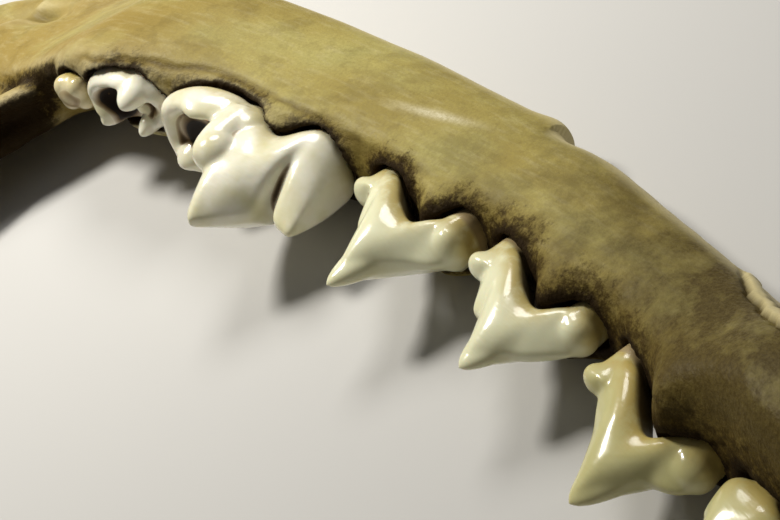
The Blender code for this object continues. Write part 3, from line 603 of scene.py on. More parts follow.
# First molar. half is how far its own middle lies from the start of its heel, and side is half its width.
half, side = 7.0, 2.65
bm = bmesh.new()
rise = ((-0.5, 1.3), (3.0, 0.4), (5.0, 0.3), (6.8, 0.9), (8.4, 1.8), (10.0, 0.6), (11.6, 0.0), (13.1, 0.8))
neck = [(x - half, z) for x, z in rise]
crest = (
    (4.6, 3.4), (5.2, 4.6), (5.9, 6.3), (6.6, 7.8), (7.0, 8.15), (7.7, 7.75), (9.2, 6.6), (9.7, 6.2),
    (9.95, 5.75), (10.15, 5.05), (10.3, 4.8), (10.5, 5.05), (10.8, 5.6), (11.15, 5.95), (11.8, 6.2),
    (12.4, 6.35), (12.65, 5.9), (12.85, 4.8), (13.0, 3.6), (13.15, 2.6),
)
blade(
    bm,
    4.6 - half,
    13.15 - half,
    2 * side,
    [(x - half, z) for x, z in crest],
    neck,
    columns=160,
    waist=(10.25 - half, 0.7, 0.1, 0.6, 0.8),
    pinch=(8.4 - half, 1.6, 0.12),
    plan=0.84,
    swell=(11.4 - half, 1.5, 0.1),
    fat=2.3,
    edge=0.12,
    tuck=(8.5 - half, 0.4),
)
rim = (
    (0, 3.0), (45, 3.0), (75, 2.7), (95, 3.1), (115, 2.75), (150, 2.9), (180, 2.8), (215, 3.0), (240, 3.4),
    (265, 3.1), (292, 2.4), (320, 2.8), (360, 3.0),
)
basin(bm, -0.5 - half, 6.9 - half, -side, side - 0.05, neck, rim, 1.6)
# The inner cusp and its swelling, the two small cusps of the heel, and the two roots.
spike(bm, (5.5 - half, 1.4, 1.2), (5.55 - half, 1.85, 5.5), 1.4, 1.2, 0.8)
ball(bm, (5.9 - half, 1.05, 1.9), (2.0, 1.5, 1.9))
ball(bm, (5.9 - half, 1.55, 4.2), (1.35, 1.15, 1.35))
ball(bm, (6.35 - half, 1.35, 4.5), (0.85, 0.75, 1.0))
spike(bm, (2.1 - half, -1.45, 1.0), (1.85 - half, -1.65, 3.7), 1.5, 1.0, 0.7)
spike(bm, (2.9 - half, 1.95, 1.0), (2.9 - half, 1.95, 3.1), 0.6, 0.5, 0.5)
spike(bm, (3.3 - half, -0.3, 2.4), (2.6 - half, -0.3, -5.4), 2.4, 1.7, 0.45)
spike(bm, (10.9 - half, -0.1, 2.4), (11.3 - half, 0.0, -5.6), 1.7, 1.5, 0.45)
tooth = piece_of("molar_1_crown", bm)
carved(tooth, neck, pits=((3.0 - half, -0.1, 2.1, 1.9, 2.9),))
placed(tooth, 18.60, -0.18, -0.36, -6.5, -8.9, -7.1)
set_in("molar_1", tooth, molar_enamel)

# Second molar, from its own middle.
half, side = 3.35, 2.1
bm = bmesh.new()
neck = [(-half, 1.0), (-1.34, 0.6), (0.2, 0.8), (half, 0.8)]
rim = (
    (0, 2.4), (40, 2.6), (75, 2.7), (110, 2.6), (150, 2.5), (180, 2.5), (215, 2.9), (240, 2.3), (262, 1.6),
    (285, 1.9), (310, 2.7), (360, 2.4),
)
basin(bm, -half, half, -side, side, neck, rim, 1.6, square=1.0)
# The front inner and outer cusps, the rear outer one, the low ridge between the front two, and the two roots.
spike(bm, (1.1, 1.15, 1.0), (1.2, 1.05, 3.7), 1.25, 0.95, 0.7)
spike(bm, (1.1, -1.3, 0.8), (1.1, -1.4, 3.4), 0.85, 0.85, 0.6)
spike(bm, (-2.0, -1.4, 0.7), (-2.2, -1.45, 3.0), 1.1, 0.9, 0.6)
spike(bm, (1.2, 0.0, 0.8), (1.2, 0.0, 2.7), 0.5, 1.2, 0.6)
spike(bm, (-1.6, -0.5, 1.3), (-1.9, -1.2, -4.2), 1.4, 1.2, 0.45)
spike(bm, (1.6, -0.5, 1.3), (1.7, -1.2, -4.4), 1.3, 1.2, 0.45)
tooth = piece_of("molar_2_crown", bm)
carved(tooth, neck, pits=((-1.3, -0.5, 1.7, 1.7, 2.7), (2.35, -0.1, 0.8, 1.1, 2.5)))
placed(tooth, 7.55, 0.99, -0.08, -7.6, -0.4, 2.5)
set_in("molar_2", tooth, molar_enamel)

# Third molar: a peg with four low cusps.
half, side = 1.4, 1.15
bm = bmesh.new()
neck = [(-half, 0.6), (half, 0.5)]
ball(bm, (0, 0, 1.2), (half, side, 1.05))
for x, y, z, r in (
    (0.75, 0.45, 1.4, 0.7),
    (-0.45, 0.4, 1.4, 0.75),
    (-0.4, -0.55, 1.45, 0.7),
    (0.75, -0.5, 1.4, 0.65),
):
    ball(bm, (x, y, z), (r, r, r))
spike(bm, (0, -0.3, 1.1), (-0.3, -0.8, -3.0), 1.0, 0.9, 0.45)
tooth = piece_of("molar_3_crown", bm)
carved(tooth, neck, voxel=0.08, pits=((0.15, -0.05, 0.95, 0.8, 2.35),))
placed(tooth, 2.6, 0.3, 0.6, -1.9, 5.4, 1.6)
set_in("molar_3", tooth, peg_enamel)

# ------------------------------------------------------------------ canine
# One long curved tooth of ivory enamel, oval in section, with its root deep in the front of the jaw. It is a
# tapered tube along a bent path.



def mesh_of(curve):
    """Turns a curve into a mesh."""
    drawn = put(curve.name, curve)
    mesh = bpy.data.meshes.new_from_object(drawn.evaluated_get(bpy.context.evaluated_depsgraph_get()))
    bpy.data.objects.remove(drawn, do_unlink=True)
    return mesh


CANINE_LONG = 6.2
CANINE_FLATTEN = 4.4 / CANINE_LONG
tube = bpy.data.curves.new("canine_path", "CURVE")
tube.dimensions = "3D"
tube.bevel_depth = CANINE_LONG / 2
tube.bevel_resolution = 10
tube.resolution_u = 16
tube.use_fill_caps = True
# Middle of the section and its share of the full size, from the root's end to the tip.
knots = (
    (60.2, 0.1, -3.6, 0.34),
    (62.6, -0.2, -1.1, 0.74),
    (65.2, -0.6, 2.4, 0.96),
    (66.6, -1.1, 6.4, 0.8),
    (66.8, -1.8, 11.0, 0.5),
    (65.4, -2.3, 16.5, 0.13),
)
spline = tube.splines.new("BEZIER")
spline.bezier_points.add(len(knots) - 1)
for point, (x, y, z, r) in zip(spline.bezier_points, knots):
    point.co = (x, y / CANINE_FLATTEN, z)
    point.radius = r
    point.handle_left_type = point.handle_right_type = "AUTO"
mesh = mesh_of(tube)
mesh.transform(Matrix.Diagonal((1, CANINE_FLATTEN, 1, 1)))
tooth = put("canine_crown", mesh)
carved(tooth, [(60, 1.0), (63, 2.4), (68, 3.6)], voxel=0.16)
front_enamel = enamel("front_enamel", ivory=(0.82, 0.79, 0.67), neck=0.8, dirt_and_shade=0.5)
set_in("canine", tooth, front_enamel)

# ------------------------------------------------------------------ incisors
# Three small chisels of ivory enamel side by side at the very front, each widening from a narrow neck to a
# thin edge, on one root that runs back into the bone.

# Shares of the crown's height, of its thickness and of its width, from the neck up.
CHISEL = ((0.0, 0.72, 0.30), (0.2, 0.82, 0.38), (0.5, 0.62, 0.46), (0.8, 0.34, 0.5), (1.0, 0.12, 0.44))
CHISEL_SIDES = 32
CHISEL_THICK = 1.35
CHISEL_LEAN = 0.55
INCISOR_SEAT = 2.7
INCISOR_TILT = math.radians(16)


def incisor(number, x, y, wide, tall):
    """Draws an incisor in its own place and leans it forward."""
    bm = bmesh.new()
    rings = []
    for up, thick, across in CHISEL:
        ring = []
        for k in range(CHISEL_SIDES):
            a = 2 * math.pi * k / CHISEL_SIDES
            along_jaw = thick * CHISEL_THICK * math.cos(a) + CHISEL_LEAN * up
            ring.append((along_jaw, across * wide * math.sin(a), up * tall))
        rings.append(ring)
    skin(bm, rings)
    spike(bm, (0, 0, 0.9), (-2.2, 0, -4.2), 0.78, wide * 0.3, 0.4, 20)
    tooth = piece_of(f"incisor_{number}_crown", bm)
    carved(tooth, [(-5, 0.2), (5, 0.2)], voxel=0.09)
    tooth.data.transform(Matrix.Translation((x, y, INCISOR_SEAT)) @ Matrix.Rotation(INCISOR_TILT, 4, "Y"))
    set_in(f"incisor_{number}", tooth, front_enamel)


incisor(1, 71.6, 2.6, 1.4, 3.3)
incisor(2, 71.5, 0.95, 1.7, 3.7)
incisor(3, 70.9, -0.95, 2.1, 4.1)

# ------------------------------------------------------------------ mandible
# One bone of dry, olive-tan, fibrous bone: a slender bowed body with the sockets in its upper edge, pitted
# around them, and a thin upright part behind with the joint's condyle. Lofts, a plate and rounded bars are
# melted together.

# Place along the row and value, in mm: the lower edge, the inner upper edge, how far the outer upper edge
# lies below it, the middle line, and the half thickness outward and inward.
LOWER_EDGE = (
    (-17, -7.2), (-10, -8.6), (-4, -9.6), (0, -10.1), (4, -10.7), (8, -11.3), (12, -11.9), (16, -12.4),
    (22, -12.7), (28, -12.6), (32.6, -12.45), (33.4, -12.3), (34.2, -11.6), (37, -11.55), (41, -10.75),
    (45, -9.75), (49, -8.7), (53, -7.45), (58, -6.3), (63, -4.8), (68, -1.7), (71, 0.9), (73, 2.0),
)
UPPER_EDGE = (
    (-17, 1.5), (-8, 2.4), (-2, 2.5), (1, 2.3), (3, 1.8), (6, 1.6), (9, 0.4), (13, -1.5), (18, -2.9),
    (21, -3.2), (24, -4.0), (28, -4.3), (32, -4.2), (37, -4.1), (41, -3.7), (46, -2.9), (51, -1.6),
    (55, -0.4), (59, 0.2), (63, 1.4), (67, 2.6), (71, 3.1), (73, 3.0),
)
OUTER_DROP = (
    (-10, 0.0), (-4, 1.2), (-1, 3.0), (3, 3.4), (8, 1.8), (13, 0.8), (20, 0.0), (30, -0.4), (60, -0.5),
)
MIDDLE = (
    (-17, -4.6), (-8, -3.2), (0, -1.6), (5, -0.7), (10, -0.8), (18, -1.3), (30, -1.45), (42, -1.15),
    (50, -0.7), (58, -0.1), (66, 0.2), (73, 0.6),
)
OUTWARD = (
    (-17, 2.2), (-8, 3.1), (0, 3.3), (8, 3.4), (18, 3.4), (30, 3.1), (42, 2.85), (52, 2.75), (60, 3.4),
    (65, 4.0), (69, 3.5), (73, 2.0),
)
INWARD = (
    (-17, 2.1), (-8, 2.2), (0, 3.3), (4, 4.2), (8, 4.4), (13, 3.8), (22, 3.2), (32, 2.8), (42, 2.75),
    (48, 2.95), (52, 3.9), (56, 5.2), (60, 5.2), (66, 3.7), (71, 2.8), (73, 2.0),
)
# The bone rises between the two roots of a tooth and dips between neighbours: place, height and reach.
RISES = (
    (6.9, 0.35, 0.8), (19.9, 1.2, 1.3), (26.3, -0.4, 1.2), (33.0, 1.5, 0.95), (36.3, -0.5, 1.3),
    (42.4, 1.6, 0.95), (46.0, -0.5, 1.3), (51.7, 1.6, 0.95), (55.0, -0.4, 1.2),
)

# The upright part, in its own frame: mm behind the last molar and mm above the row, tilted back. Its outline
# runs up the front border, over the top, round the notch above the condyle, and down to the angular process.
RAMUS_TILT = math.radians(17.0)
RAMUS = (
    (1.0, -6.0), (2.4, -0.6), (4.0, 2.2), (5.5, 5.0), (7.4, 9.0), (9.9, 14.0), (12.4, 19.0), (15.0, 23.2),
    (18.2, 25.7), (21.4, 25.0), (23.0, 21.8), (22.1, 17.2), (21.2, 13.4), (21.4, 10.9), (22.5, 9.3),
    (24.3, 8.8), (25.2, 6.9), (23.4, 4.4), (21.8, 1.2), (22.2, -2.4), (24.6, -3.5), (26.8, -4.7),
    (26.6, -6.4), (22.6, -8.8), (17.6, -10.4), (11.0, -11.3), (4.0, -10.8),
)
RAMUS_CORE = 0.55
RAMUS_ROUND = 0.75
OUTER_CREST = ((-2.0, 2.0), (0.2, 2.7), (2.0, 3.6), (4.4, 5.1), (9.0, 7.4), (14.0, 9.9), (19.0, 12.4))
INNER_RIDGE = ((-2.0, 1.2), (0.3, 1.6), (2.0, 2.9), (4.2, 4.8), (8.0, 8.2), (11.0, 11.0))


def ramus_point(s, h):
    """The jaw's x and z at s mm behind the last molar and h mm above the row."""
    c, w = math.cos(RAMUS_TILT), math.sin(RAMUS_TILT)
    return -s * c + h * w, s * w + h * c


def ramus_side(x, z):
    """How far in the upright plate's middle lies: it leans outward to the top and to the back."""
    return -2.9 + 0.11 * min(x, 2.0) - 0.05 * max(z, 0.0)


# The upright plate is a filled outline with a rounded edge.
outline = bpy.data.curves.new("ramus_outline", "CURVE")
outline.dimensions = "2D"
outline.fill_mode = "BOTH"
outline.extrude = RAMUS_CORE
outline.bevel_depth = RAMUS_ROUND
outline.bevel_resolution = 3
outline.resolution_u = 6
spline = outline.splines.new("BEZIER")
spline.bezier_points.add(len(RAMUS) - 1)
spline.use_cyclic_u = True
for point, (s, h) in zip(spline.bezier_points, RAMUS):
    point.co = (*ramus_point(s, h), 0)
    point.handle_left_type = point.handle_right_type = "AUTO"
mesh = mesh_of(outline)
mesh.transform(Matrix.Rotation(math.radians(90), 4, "X"))
for v in mesh.vertices:
    v.co.y += ramus_side(v.co.x, v.co.z)
bm = bmesh.new()
bm.from_mesh(mesh)

# The body: squarer above, where the sockets are, and narrower below.
BODY_BACK, BODY_FRONT, STATIONS = -17, 73, 120
BODY_SIDES = 48
rings = []
for station in range(STATIONS):
    x = BODY_BACK + (BODY_FRONT - BODY_BACK) * station / (STATIONS - 1)
    low, high = along(LOWER_EDGE, x), along(UPPER_EDGE, x)
    high += sum(h * math.exp(-(((x - at) / r) ** 2)) for at, h, r in RISES)
    middle, outward, inward = along(MIDDLE, x), along(OUTWARD, x), along(INWARD, x)
    ring = []
    for k in range(BODY_SIDES):
        a = 2 * math.pi * k / BODY_SIDES
        box = 0.74 if math.sin(a) < 0 else 0.5
        cy, cz = power(math.cos(a), box), power(math.sin(a), box)
        thin = 1.0 - 0.26 * (0.5 - 0.5 * cz) ** 1.5
        y = middle + (inward if cy > 0 else outward) * cy * thin
        drop = along(OUTER_DROP, x) * (0.5 - 0.5 * cy) * (0.5 + 0.5 * cz)
        ring.append((x, y, (low + high) / 2 + (high - low) / 2 * cz - drop))
    rings.append(ring)
skin(bm, rings)

# The front border of the upright part: two ridges with a groove between them.
for h in np.linspace(-2.0, 16.5, 16):
    x, z = ramus_point(along(OUTER_CREST, h) + 1.5, h)
    ball(bm, (x, ramus_side(x, z) - 0.2, z), (1.5, 1.35 - 0.03 * h, 1.9))
for h in np.linspace(-2.0, 8.5, 10):
    x, z = ramus_point(along(INNER_RIDGE, h) + 1.2, h)
    ball(bm, (x, -1.5 - 0.13 * max(h, 0.0), z), (1.2, 1.15 - 0.04 * h, 1.5))
# The condyle, a bar across the jaw, and the angular process below it.
x, z = ramus_point(23.8, 7.0)
ball(bm, (x, ramus_side(x, z) + 1.2, z), (2.1, 5.3, 1.95))
ball(bm, (x + 1.6, ramus_side(x, z) + 0.8, z - 1.0), (2.2, 2.6, 2.4))
for part in np.linspace(0.0, 1.0, 6):
    x, z = ramus_point(17.0 + 8.6 * part, -8.4 + 2.8 * part)
    ball(bm, (x, ramus_side(x, z) + 0.9 * part - 0.83, z), (2.4, 1.75 - 0.2 * part, 1.7 - 0.5 * part))
bone = piece_of("mandible_bone", bm)
FORM_VOXEL = 0.5
melted(bone, FORM_VOXEL, 0.5, 9)

# The broad hollows of its faces, pressed in along y: the chewing muscle's and two mental foramina on the
# outer side, and the one that leads to the nerve canal on the inner side.
mesh = bone.data
co, out = rows_of(mesh, "co"), rows_of(mesh, "normal")
facing = out[:, 1]
outer, inner = np.clip(-facing * 1.6, 0, 1), np.clip(facing * 1.6, 0, 1)
x, z = co[:, 0], co[:, 2]
s = -x * math.cos(RAMUS_TILT) + z * math.sin(RAMUS_TILT)
h = x * math.sin(RAMUS_TILT) + z * math.cos(RAMUS_TILT)
MUSCLE_DEPTH = 0.7
muscle = np.exp(-(np.abs((s - 11.0 - 0.25 * h) / 6.0) ** 2.6) - np.abs((h - 4.5) / 7.0) ** 2.6)
co[:, 1] += outer * muscle * MUSCLE_DEPTH


def dent(x, z, cx, cz, rx, rz, turn=0.0):
    """1 at cx, cz, fading over the reaches rx and rz, turned by so many degrees."""
    c, w = math.cos(math.radians(turn)), math.sin(math.radians(turn))
    u = ((x - cx) * c + (z - cz) * w) / rx
    v = (-(x - cx) * w + (z - cz) * c) / rz
    return np.exp(-(u * u + v * v))


# Place, reaches and turn of each, in mm and degrees.
FORAMINA = ((55.5, -3.6, 1.0, 0.7), (46.0, -6.4, 1.0, 0.7))
FORAMEN_DEPTH = 1.1
NERVE_FRONT = (-11.6, -4.3, 1.6, 0.9, -10)
NERVE_HOLLOW = (-14.4, -4.1, 3.5, 1.6, -8)
NERVE_SLIT = (-15.3, -4.3, 1.9, 0.6, -22)
NERVE_BRIM = (-15.5, -4.0, 3.6, 1.7, -22)
for foramen in FORAMINA:
    co[:, 1] += outer * dent(x, z, *foramen) * FORAMEN_DEPTH
co[:, 1] -= inner * (0.7 * dent(x, z, *NERVE_FRONT) + dent(x, z, *NERVE_HOLLOW))
# The groove between the two ridges of the front border.
front = np.clip(out[:, 0] * 1.6, 0, 1)
span = np.clip((z - 1.5) / 2.5, 0, 1) * np.clip((13 - z) / 5.0, 0, 1)
co[:, 0] -= front * span * np.exp(-(((co[:, 1] + 2.2 + 0.06 * z) / 0.75) ** 2)) * 1.1
mesh.vertices.foreach_set("co", co.ravel())
mesh.update()

# Each socket is the tooth's own shape, a little larger, cut into the bone.
SOCKET_GAP = 0.26
SOCKET_VOXEL = 0.2
CROWN_LIFTS = (0.9, 1.8, 2.7)
for name, mould in moulds.items():
    socket = put(name + "_socket", mould.copy())
    grow = socket.modifiers.new("grow", "DISPLACE")
    grow.strength = SOCKET_GAP
    grow.mid_level = 0.0
    baked(socket)
    if name.startswith("molar"):
        # Copies of its shape above it leave no bone inside the crown's hollow.
        bm = bmesh.new()
        bm.from_mesh(socket.data)
        for lift in CROWN_LIFTS:
            raised = socket.data.copy()
            raised.transform(Matrix.Translation((0, 0, lift)))
            bm.from_mesh(raised)
        bm.to_mesh(socket.data)
        bm.free()
    melted(socket, SOCKET_VOXEL, 0.3, 2)
    cut = bone.modifiers.new("socket", "BOOLEAN")
    cut.operation = "DIFFERENCE"
    cut.solver = "EXACT"
    cut.object = socket
    baked(bone)
    bpy.data.objects.remove(socket, do_unlink=True)
SKIN_VOXEL = 0.14
melted(bone, SKIN_VOXEL, 0.4, 3)

# Pits, fibres and knocks of the surface, pressed along the normals. reach is the way to the nearest crown.
mesh = bone.data
co, out = rows_of(mesh, "co"), rows_of(mesh, "normal")
corners, faces = [], []
for mould in moulds.values():
    start = len(corners)
    corners += [v.co[:] for v in mould.vertices]
    root = [spot.value for spot in mould.attributes["root"].data]
    faces += [[start + i for i in face.vertices] for face in mould.polygons if root[face.vertices[0]] < 0.5]
crowns = BVHTree.FromPolygons(corners, faces)
reach = np.array([crowns.find_nearest(p)[3] for p in co])
x, y, z = co[:, 0], co[:, 1], co[:, 2]
row = z - row_height(np.clip(x, -5, 65))


def rough(points, scale, seed):
    """Smooth noise from -1 to 1, at so many spots per mm."""
    shift = Vector((seed * 17.3, seed * 5.1, seed * 9.7))
    return np.array([noise.noise(Vector(p) * scale + shift) for p in points])


def stretch_of(v, start, full, fade, end):
    """1 from full to fade, and smoothly less out to start and end."""
    return ramp(v, start, full) * ramp(v, end, fade)


def off_line(knots):
    """How far each vertex lies above a line drawn along the row."""
    return z - np.array([along(knots, v) for v in x])


swell, lumps, knobs = rough(co, 0.16, 1), rough(co, 0.9, 2), rough(co, 2.2, 3)
# Round the crowns the bone is porous and brown, with painted shade on the alveolar rim, in a band that frays
# and that widens towards the front.
band = ramp(x, 24.0, 52.0)
frayed = reach + 0.4 * lumps + 0.15 * knobs
porous_and_shade = ramp(frayed, 1.3 + 1.3 * band + 0.5 * ramp(x, 22, 30), 0.45)
# Below the molars and the last premolar the band ends in a dark brown seam along the inner face.
SEAM = (
    (2.0, 0.8), (6.2, 0.2), (9.0, -1.1), (11.5, -2.25), (13.4, -3.15), (16.0, -4.0), (20.3, -4.4),
    (26.6, -4.8), (33.0, -5.0),
)
seam_at = off_line(SEAM) + 0.25 * lumps
inside = ramp(y, -0.6, 0.3)
seam = np.exp(-((seam_at / (0.24 + 0.1 * swell)) ** 2)) * stretch_of(x, 3.0, 7.0, 28.0, 34.0) * inside
shelf = ramp(seam_at, -0.3, 0.5) * stretch_of(x, 0.0, 4.0, 28.0, 36.0) * inside
# The groove that runs back from the last molar, and the hollow front border above it, both darkened with
# painted shade.
GROOVE = ((-8.0, 2.75), (-2.3, 1.9), (0.6, 1.3))
groove = np.exp(-((off_line(GROOVE) / 0.6) ** 2)) * stretch_of(x, -9.5, -6.0, 0.5, 2.0) * ramp(y, -4.0, -2.6)
leading = ramp(out[:, 0], 0.0, 0.4)
shaded_front_border = leading * ramp(x, 0.6, -0.4) * stretch_of(z, 1.2, 2.6, 10.0, 16.0) * ramp(y, -0.6, -1.3)
shaded_front_border = relaxed(mesh, shaded_front_border, 8)
# The slit of the nerve canal's mouth, darkened with painted shade through the seam mask.
inner_face = (y > -5.0) * ramp(out[:, 1], 0.0, 0.3)
nerve = dent(x, z, *NERVE_SLIT) * inner_face
# The groove and the front border bring their painted shade into the porous band.
porous_and_shade = porous_and_shade * (1 - 0.3 * ramp(x, 27.0, 23.0)) + 0.2 * shelf + 0.7 * groove + 0.8 * shaded_front_border
porous_and_shade = np.clip(porous_and_shade + 0.3 * ramp(x, 44, 60) * ramp(frayed, 5.0, 1.5), 0, 1)
# Nearly black painted shade in the gaps round the crowns, the groove and the front border, with some dirt.
dirt_and_shade = np.maximum(ramp(reach + 0.1 * lumps, 0.7 + 0.5 * ramp(x, 20, 30), 0.34), 0.85 * groove)
dirt_and_shade = np.clip(np.maximum(dirt_and_shade, 0.95 * shaded_front_border), 0, 1)
pits = ramp(knobs, 0.1, 0.5)
# Near the front end of the lower edge a thin flake lifts along a crack.
CRACK = ((48.6, -8.3), (49.5, -7.7), (51.5, -6.3), (54.0, -4.9), (56.0, -4.2))
crack_at = off_line(CRACK) + 0.12 * knobs + 0.2 * lumps
flaking = stretch_of(x, 48.4, 49.2, 55.0, 56.0) * (y > 0)
crack = flaking * np.exp(-((crack_at / 0.12) ** 2))
flake = flaking * stretch_of(crack_at, -0.8, -0.55, -0.2, -0.02)
press = -0.05 * swell - 0.03 * lumps * (0.3 + porous_and_shade) - 0.25 * groove - 0.1 * seam
press += 0.16 * flake - 0.2 * crack - 0.07 * porous_and_shade * pits
co += out * press[:, None]
# In front of its slit the nerve canal's hollow stays shallow, and the lower edge has a splintered step.
STEP = 33.6
low = off_line(LOWER_EDGE)
near_edge = ramp(low, 1.5, 0.3)
co[:, 1] += 0.4 * dent(x, z, *NERVE_FRONT) * inner_face
co[:, 1] -= 0.5 * nerve
co[:, 2] -= near_edge * 0.35 * ramp(x, 31.0, 33.5) * (x < STEP)
co[:, 2] += near_edge * 0.12 * (x >= STEP) * ramp(x, 36.5, 34.0)
mesh.vertices.foreach_set("co", co.astype(np.float32).ravel())
mesh.update()

# What the material reads: where the bone is porous, pitted and worn, where painted shade and dirt go, and
# where painted highlight goes on edges and the scuff.
# The scuff is a pale streak near the lower edge, partly a real scuff and partly painted highlight.
SCUFF_X, SCUFF_Z, SCUFF_TURN = 28.4, -8.25, (0.97, 0.24)
along_scuff = (x - SCUFF_X) * SCUFF_TURN[0] - (z - SCUFF_Z) * SCUFF_TURN[1]
across_scuff = (x - SCUFF_X) * SCUFF_TURN[1] + (z - SCUFF_Z) * SCUFF_TURN[0]
# The pale brim of the nerve hollow is painted highlight on an edge catching the light.
brim = dent(x, z, *NERVE_BRIM) * (y > -5.0) * (1 - nerve) ** 2
for name, values in (
    ("porous_and_shade", porous_and_shade),
    ("pits", np.clip(porous_and_shade * pits + crack, 0, 1)),
    ("ridge", ramp(-hollow(mesh, 40), 0.02, 0.16) * ramp(x, 30, 10)),
    ("front", ramp(x, 27.0, 58.0)),
    ("gap", dirt_and_shade),
    ("scuff_and_highlight", np.exp(-((along_scuff / 2.2) ** 2) - (across_scuff / 0.3) ** 2) * (y > 0)),
    # rim: painted highlight along the rear lower edge, on the lifted flake and on the nerve hollow's brim.
    ("rim", np.clip(ramp(low, 1.3, 0.2) * ramp(x, -8, 4) + 0.9 * flake + 0.4 * brim, 0, 1)),
    # The seam mask also carries the nerve slit's painted shade.
    ("seam", np.clip(seam + 0.75 * nerve, 0, 1)),
    ("rear", ramp(x, 20.0, 0.0)),
    ("grain", np.stack([x, y, row], 1)),
):
    painted(mesh, name, values)
smoothed(mesh)

# Olive and tan bone in clouds, with pale and brown fibres along it: browner at the rear, browner at the front
# with painted shade there, porous brown with painted shade round the teeth, pale where it is worn, pale
# painted highlight on the rear lower edge, the flake, the nerve hollow's brim and the scuff, and nearly black
# painted shade with dirt in the gaps round the crowns, the groove and the front border.
OLIVE, TAN = (0.28, 0.215, 0.050, 1), (0.43, 0.36, 0.11, 1)
GREENISH = (0.38, 0.36, 0.13)
PALE_FIBRE, BROWN_FIBRE = (0.64, 0.57, 0.33), (0.30, 0.23, 0.075)
# FRONT_BROWN_AND_SHADE is brown stain with painted shade for the light falling off towards the front.
REAR_BROWN, FRONT_BROWN_AND_SHADE, GRIT_BROWN = (0.26, 0.175, 0.045), (0.045, 0.027, 0.004), (0.20, 0.15, 0.045)
# POROUS_BROWN_AND_SHADE is porous brown bone with painted shade.
SEAM_BROWN, POROUS_BROWN_AND_SHADE = (0.095, 0.062, 0.013), (0.17, 0.115, 0.022)
# SOIL_AND_SHADE and DIRT_AND_SHADE mix dark soil with painted shade.
SOIL_AND_SHADE, PIT_DARK, DIRT_AND_SHADE = (0.050, 0.030, 0.004), (0.045, 0.027, 0.005), (0.018, 0.009, 0.001)
# RIM_HIGHLIGHT is painted highlight; SCUFF_AND_HIGHLIGHT is a pale scuff with painted highlight.
WORN_RIDGE, RIM_HIGHLIGHT, SCUFF_AND_HIGHLIGHT = (0.68, 0.60, 0.36), (0.70, 0.60, 0.32), (0.76, 0.70, 0.50)

bone_matter = bpy.data.materials.new("dry_bone")
t, shader = shader_of(bone_matter)
grain = painted_mask(t, "grain", "Vector")
masks = ("porous_and_shade", "pits", "ridge", "front", "gap", "scuff_and_highlight", "rim", "seam", "rear")
at = {name: painted_mask(t, name) for name in masks}


def tinted(colour, mask, share, tint):
    """Lays a tint over the colour where a mask says. share is how much of it, as a number or a mask."""
    return mixed(t, calc(t, "MULTIPLY", mask, share), colour, (*tint, 1))


fibres = speckle(t, grain, 1.0, 5.0, 0.62, (0.45, 2.4, 2.4))
grit = spread(t, speckle(t, grain, 5.5, 4.0, 0.7), 0.35, 0.62)
spots = spread(t, speckle(t, grain, 2.4, 6.0, 0.75), 0.36, 0.64)

patches = spread(t, speckle(t, grain, 0.13, 4.0, 0.6, (0.7, 1.0, 1.0)), 0.36, 0.64)
green = spread(t, speckle(t, grain, 0.21, 3.0, 0.5, (0.8, 1.2, 1.2)), 0.5, 0.72)
brown = spread(t, speckle(t, grain, 0.45, 6.0, 0.7), 0.34, 0.6)
# Towards the front the bone browns, partly stain and partly painted shade for the weaker light there.
front_browning_and_shade = spread(t, calc(t, "MULTIPLY_ADD", brown, 0.5, at["front"]), 0.3, 1.25)
soiled_and_shaded = spread(t, calc(t, "MULTIPLY_ADD", spots, 0.9, at["porous_and_shade"]), 0.85, 1.45)
streaked = calc(t, "MULTIPLY_ADD", spread(t, fibres, 0.32, 0.6), 0.55, 0.3)
dirt_and_shade_fill = spread(t, calc(t, "MULTIPLY_ADD", spots, 0.5, at["gap"]), 0.35, 0.95)

colour = mixed(t, patches, OLIVE, TAN)
colour = tinted(colour, at["rear"], 0.7, REAR_BROWN)
colour = tinted(colour, green, 0.45, GREENISH)
colour = tinted(colour, spread(t, fibres, 0.5, 0.75), 0.25, PALE_FIBRE)
colour = tinted(colour, spread(t, fibres, 0.48, 0.25), 0.3, BROWN_FIBRE)
colour = tinted(colour, front_browning_and_shade, 0.95, FRONT_BROWN_AND_SHADE)
colour = tinted(colour, calc(t, "SUBTRACT", 1.0, grit), 0.3, GRIT_BROWN)
colour = tinted(colour, at["seam"], streaked, SEAM_BROWN)
colour = tinted(colour, at["porous_and_shade"], 0.6, POROUS_BROWN_AND_SHADE)
colour = tinted(colour, soiled_and_shaded, 0.9, SOIL_AND_SHADE)
colour = tinted(colour, at["pits"], 0.55, PIT_DARK)
colour = tinted(colour, at["ridge"], 0.35, WORN_RIDGE)
colour = tinted(colour, at["rim"], 0.75, RIM_HIGHLIGHT)
colour = tinted(colour, at["scuff_and_highlight"], calc(t, "MULTIPLY_ADD", grit, 0.4, 0.35), SCUFF_AND_HIGHLIGHT)
colour = tinted(colour, dirt_and_shade_fill, calc(t, "POWER", at["gap"], 0.3), DIRT_AND_SHADE)
t.links.new(colour, shader.inputs["Base Color"])
dull = calc(t, "MULTIPLY_ADD", grit, 0.12, 0.40)
t.links.new(calc(t, "MULTIPLY_ADD", at["porous_and_shade"], 0.3, dull), shader.inputs["Roughness"])
coarse = calc(t, "MULTIPLY_ADD", at["porous_and_shade"], 1.8, 0.5)
relief = calc(t, "MULTIPLY_ADD", speckle(t, grain, 6.0, 4.0, 0.6), coarse, calc(t, "MULTIPLY", fibres, 0.6))
bump = wire(t, "ShaderNodeBump", (), {"Strength": 0.6, "Distance": 0.00009, "Height": relief})
t.links.new(bump.outputs[0], shader.inputs["Normal"])
shader.inputs["Specular IOR Level"].default_value = 0.1

bone.data.materials.append(bone_matter)
laid(bone)
for v in bone.data.vertices:
    v.co.z = max(v.co.z, 0.0)
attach(bone, "root")
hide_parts("mandible")

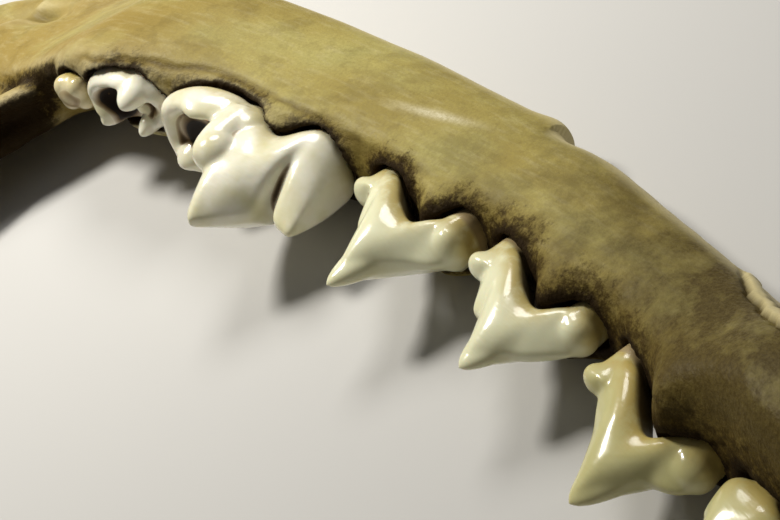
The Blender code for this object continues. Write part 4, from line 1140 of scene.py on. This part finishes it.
# ------------------------------------------------------------------ floor, light and camera
# A plain pale floor, a soft key lamp from the picture's upper left, a broader one from above, and a pale
# room. The camera looks at the bone's inner face from its front end, with the jaw upside down in the picture.

bm = bmesh.new()
bmesh.ops.create_grid(bm, x_segments=1, y_segments=1, size=2.0)
floor = piece_of("floor", bm)
paper = bpy.data.materials.new("floor_paper")
shader = shader_of(paper)[1]
shader.inputs["Base Color"].default_value = (0.54, 0.53, 0.51, 1)
shader.inputs["Roughness"].default_value = 0.85
floor.data.materials.append(paper)

# The camera's place and turn, in the jaw's own directions. Its lens's reach is counted in the photo's pixels.
AIM = Vector((33.6, 0.0, -0.4))
FAR = 72.5
PHOTO_REACH, PHOTO_WIDTH, SENSOR = 1522, 780, 36.0
SIDE, HIGH, ROLL = math.radians(48.6), math.radians(18.2), math.radians(51.2)
back = Vector((math.sin(SIDE) * math.cos(HIGH), math.cos(SIDE) * math.cos(HIGH), math.sin(HIGH)))
right = Vector((0, 0, -1)).cross(back).normalized()
over = back.cross(right)
right, over = math.cos(ROLL) * right + math.sin(ROLL) * over, math.cos(ROLL) * over - math.sin(ROLL) * right
eye = AIM + back * FAR
look = lying @ Matrix([[right[i], over[i], back[i], eye[i]] for i in range(3)] + [[0, 0, 0, 1]])
look.translation *= MM
lens = bpy.data.cameras.new("camera")
lens.sensor_width = SENSOR
lens.lens = PHOTO_REACH / PHOTO_WIDTH * SENSOR
lens.clip_start = 0.002
lens.clip_end = 20.0
camera = put("camera", lens)
camera.matrix_world = look
bpy.context.scene.camera = camera

LAMP_AIM = (lying @ Vector((0.0, 0.0, -2.0))) * MM


def softbox(name, right_by, up_by, back_by, size, power, colour, cone):
    """A round lamp, metres to the right, up and back as the camera sees it, aimed behind the last molar."""
    lamp = bpy.data.lights.new(name, "AREA")
    lamp.shape = "DISK"
    lamp.size = size
    lamp.energy = power
    lamp.color = colour
    lamp.spread = math.radians(cone)
    holder = put(name, lamp)
    holder.location = LAMP_AIM + look.to_3x3() @ Vector((right_by, up_by, back_by))
    holder.rotation_euler = (holder.location - LAMP_AIM).to_track_quat("Z", "Y").to_euler()


softbox("key", -0.10, 0.095, 0.028, size=0.036, power=0.066, colour=(1.0, 0.97, 0.90), cone=90)
softbox("top", -0.02, 0.15, 0.028, size=0.07, power=0.060, colour=(1.0, 0.99, 0.96), cone=120)
room = bpy.data.worlds.new("room")
room.use_nodes = True
wash = next(n for n in room.node_tree.nodes if n.type == "BACKGROUND")
wash.inputs["Color"].default_value = (1.0, 0.98, 0.94, 1)
wash.inputs["Strength"].default_value = 0.12
bpy.context.scene.world = room
bpy.context.scene.view_settings.view_transform = "Standard"
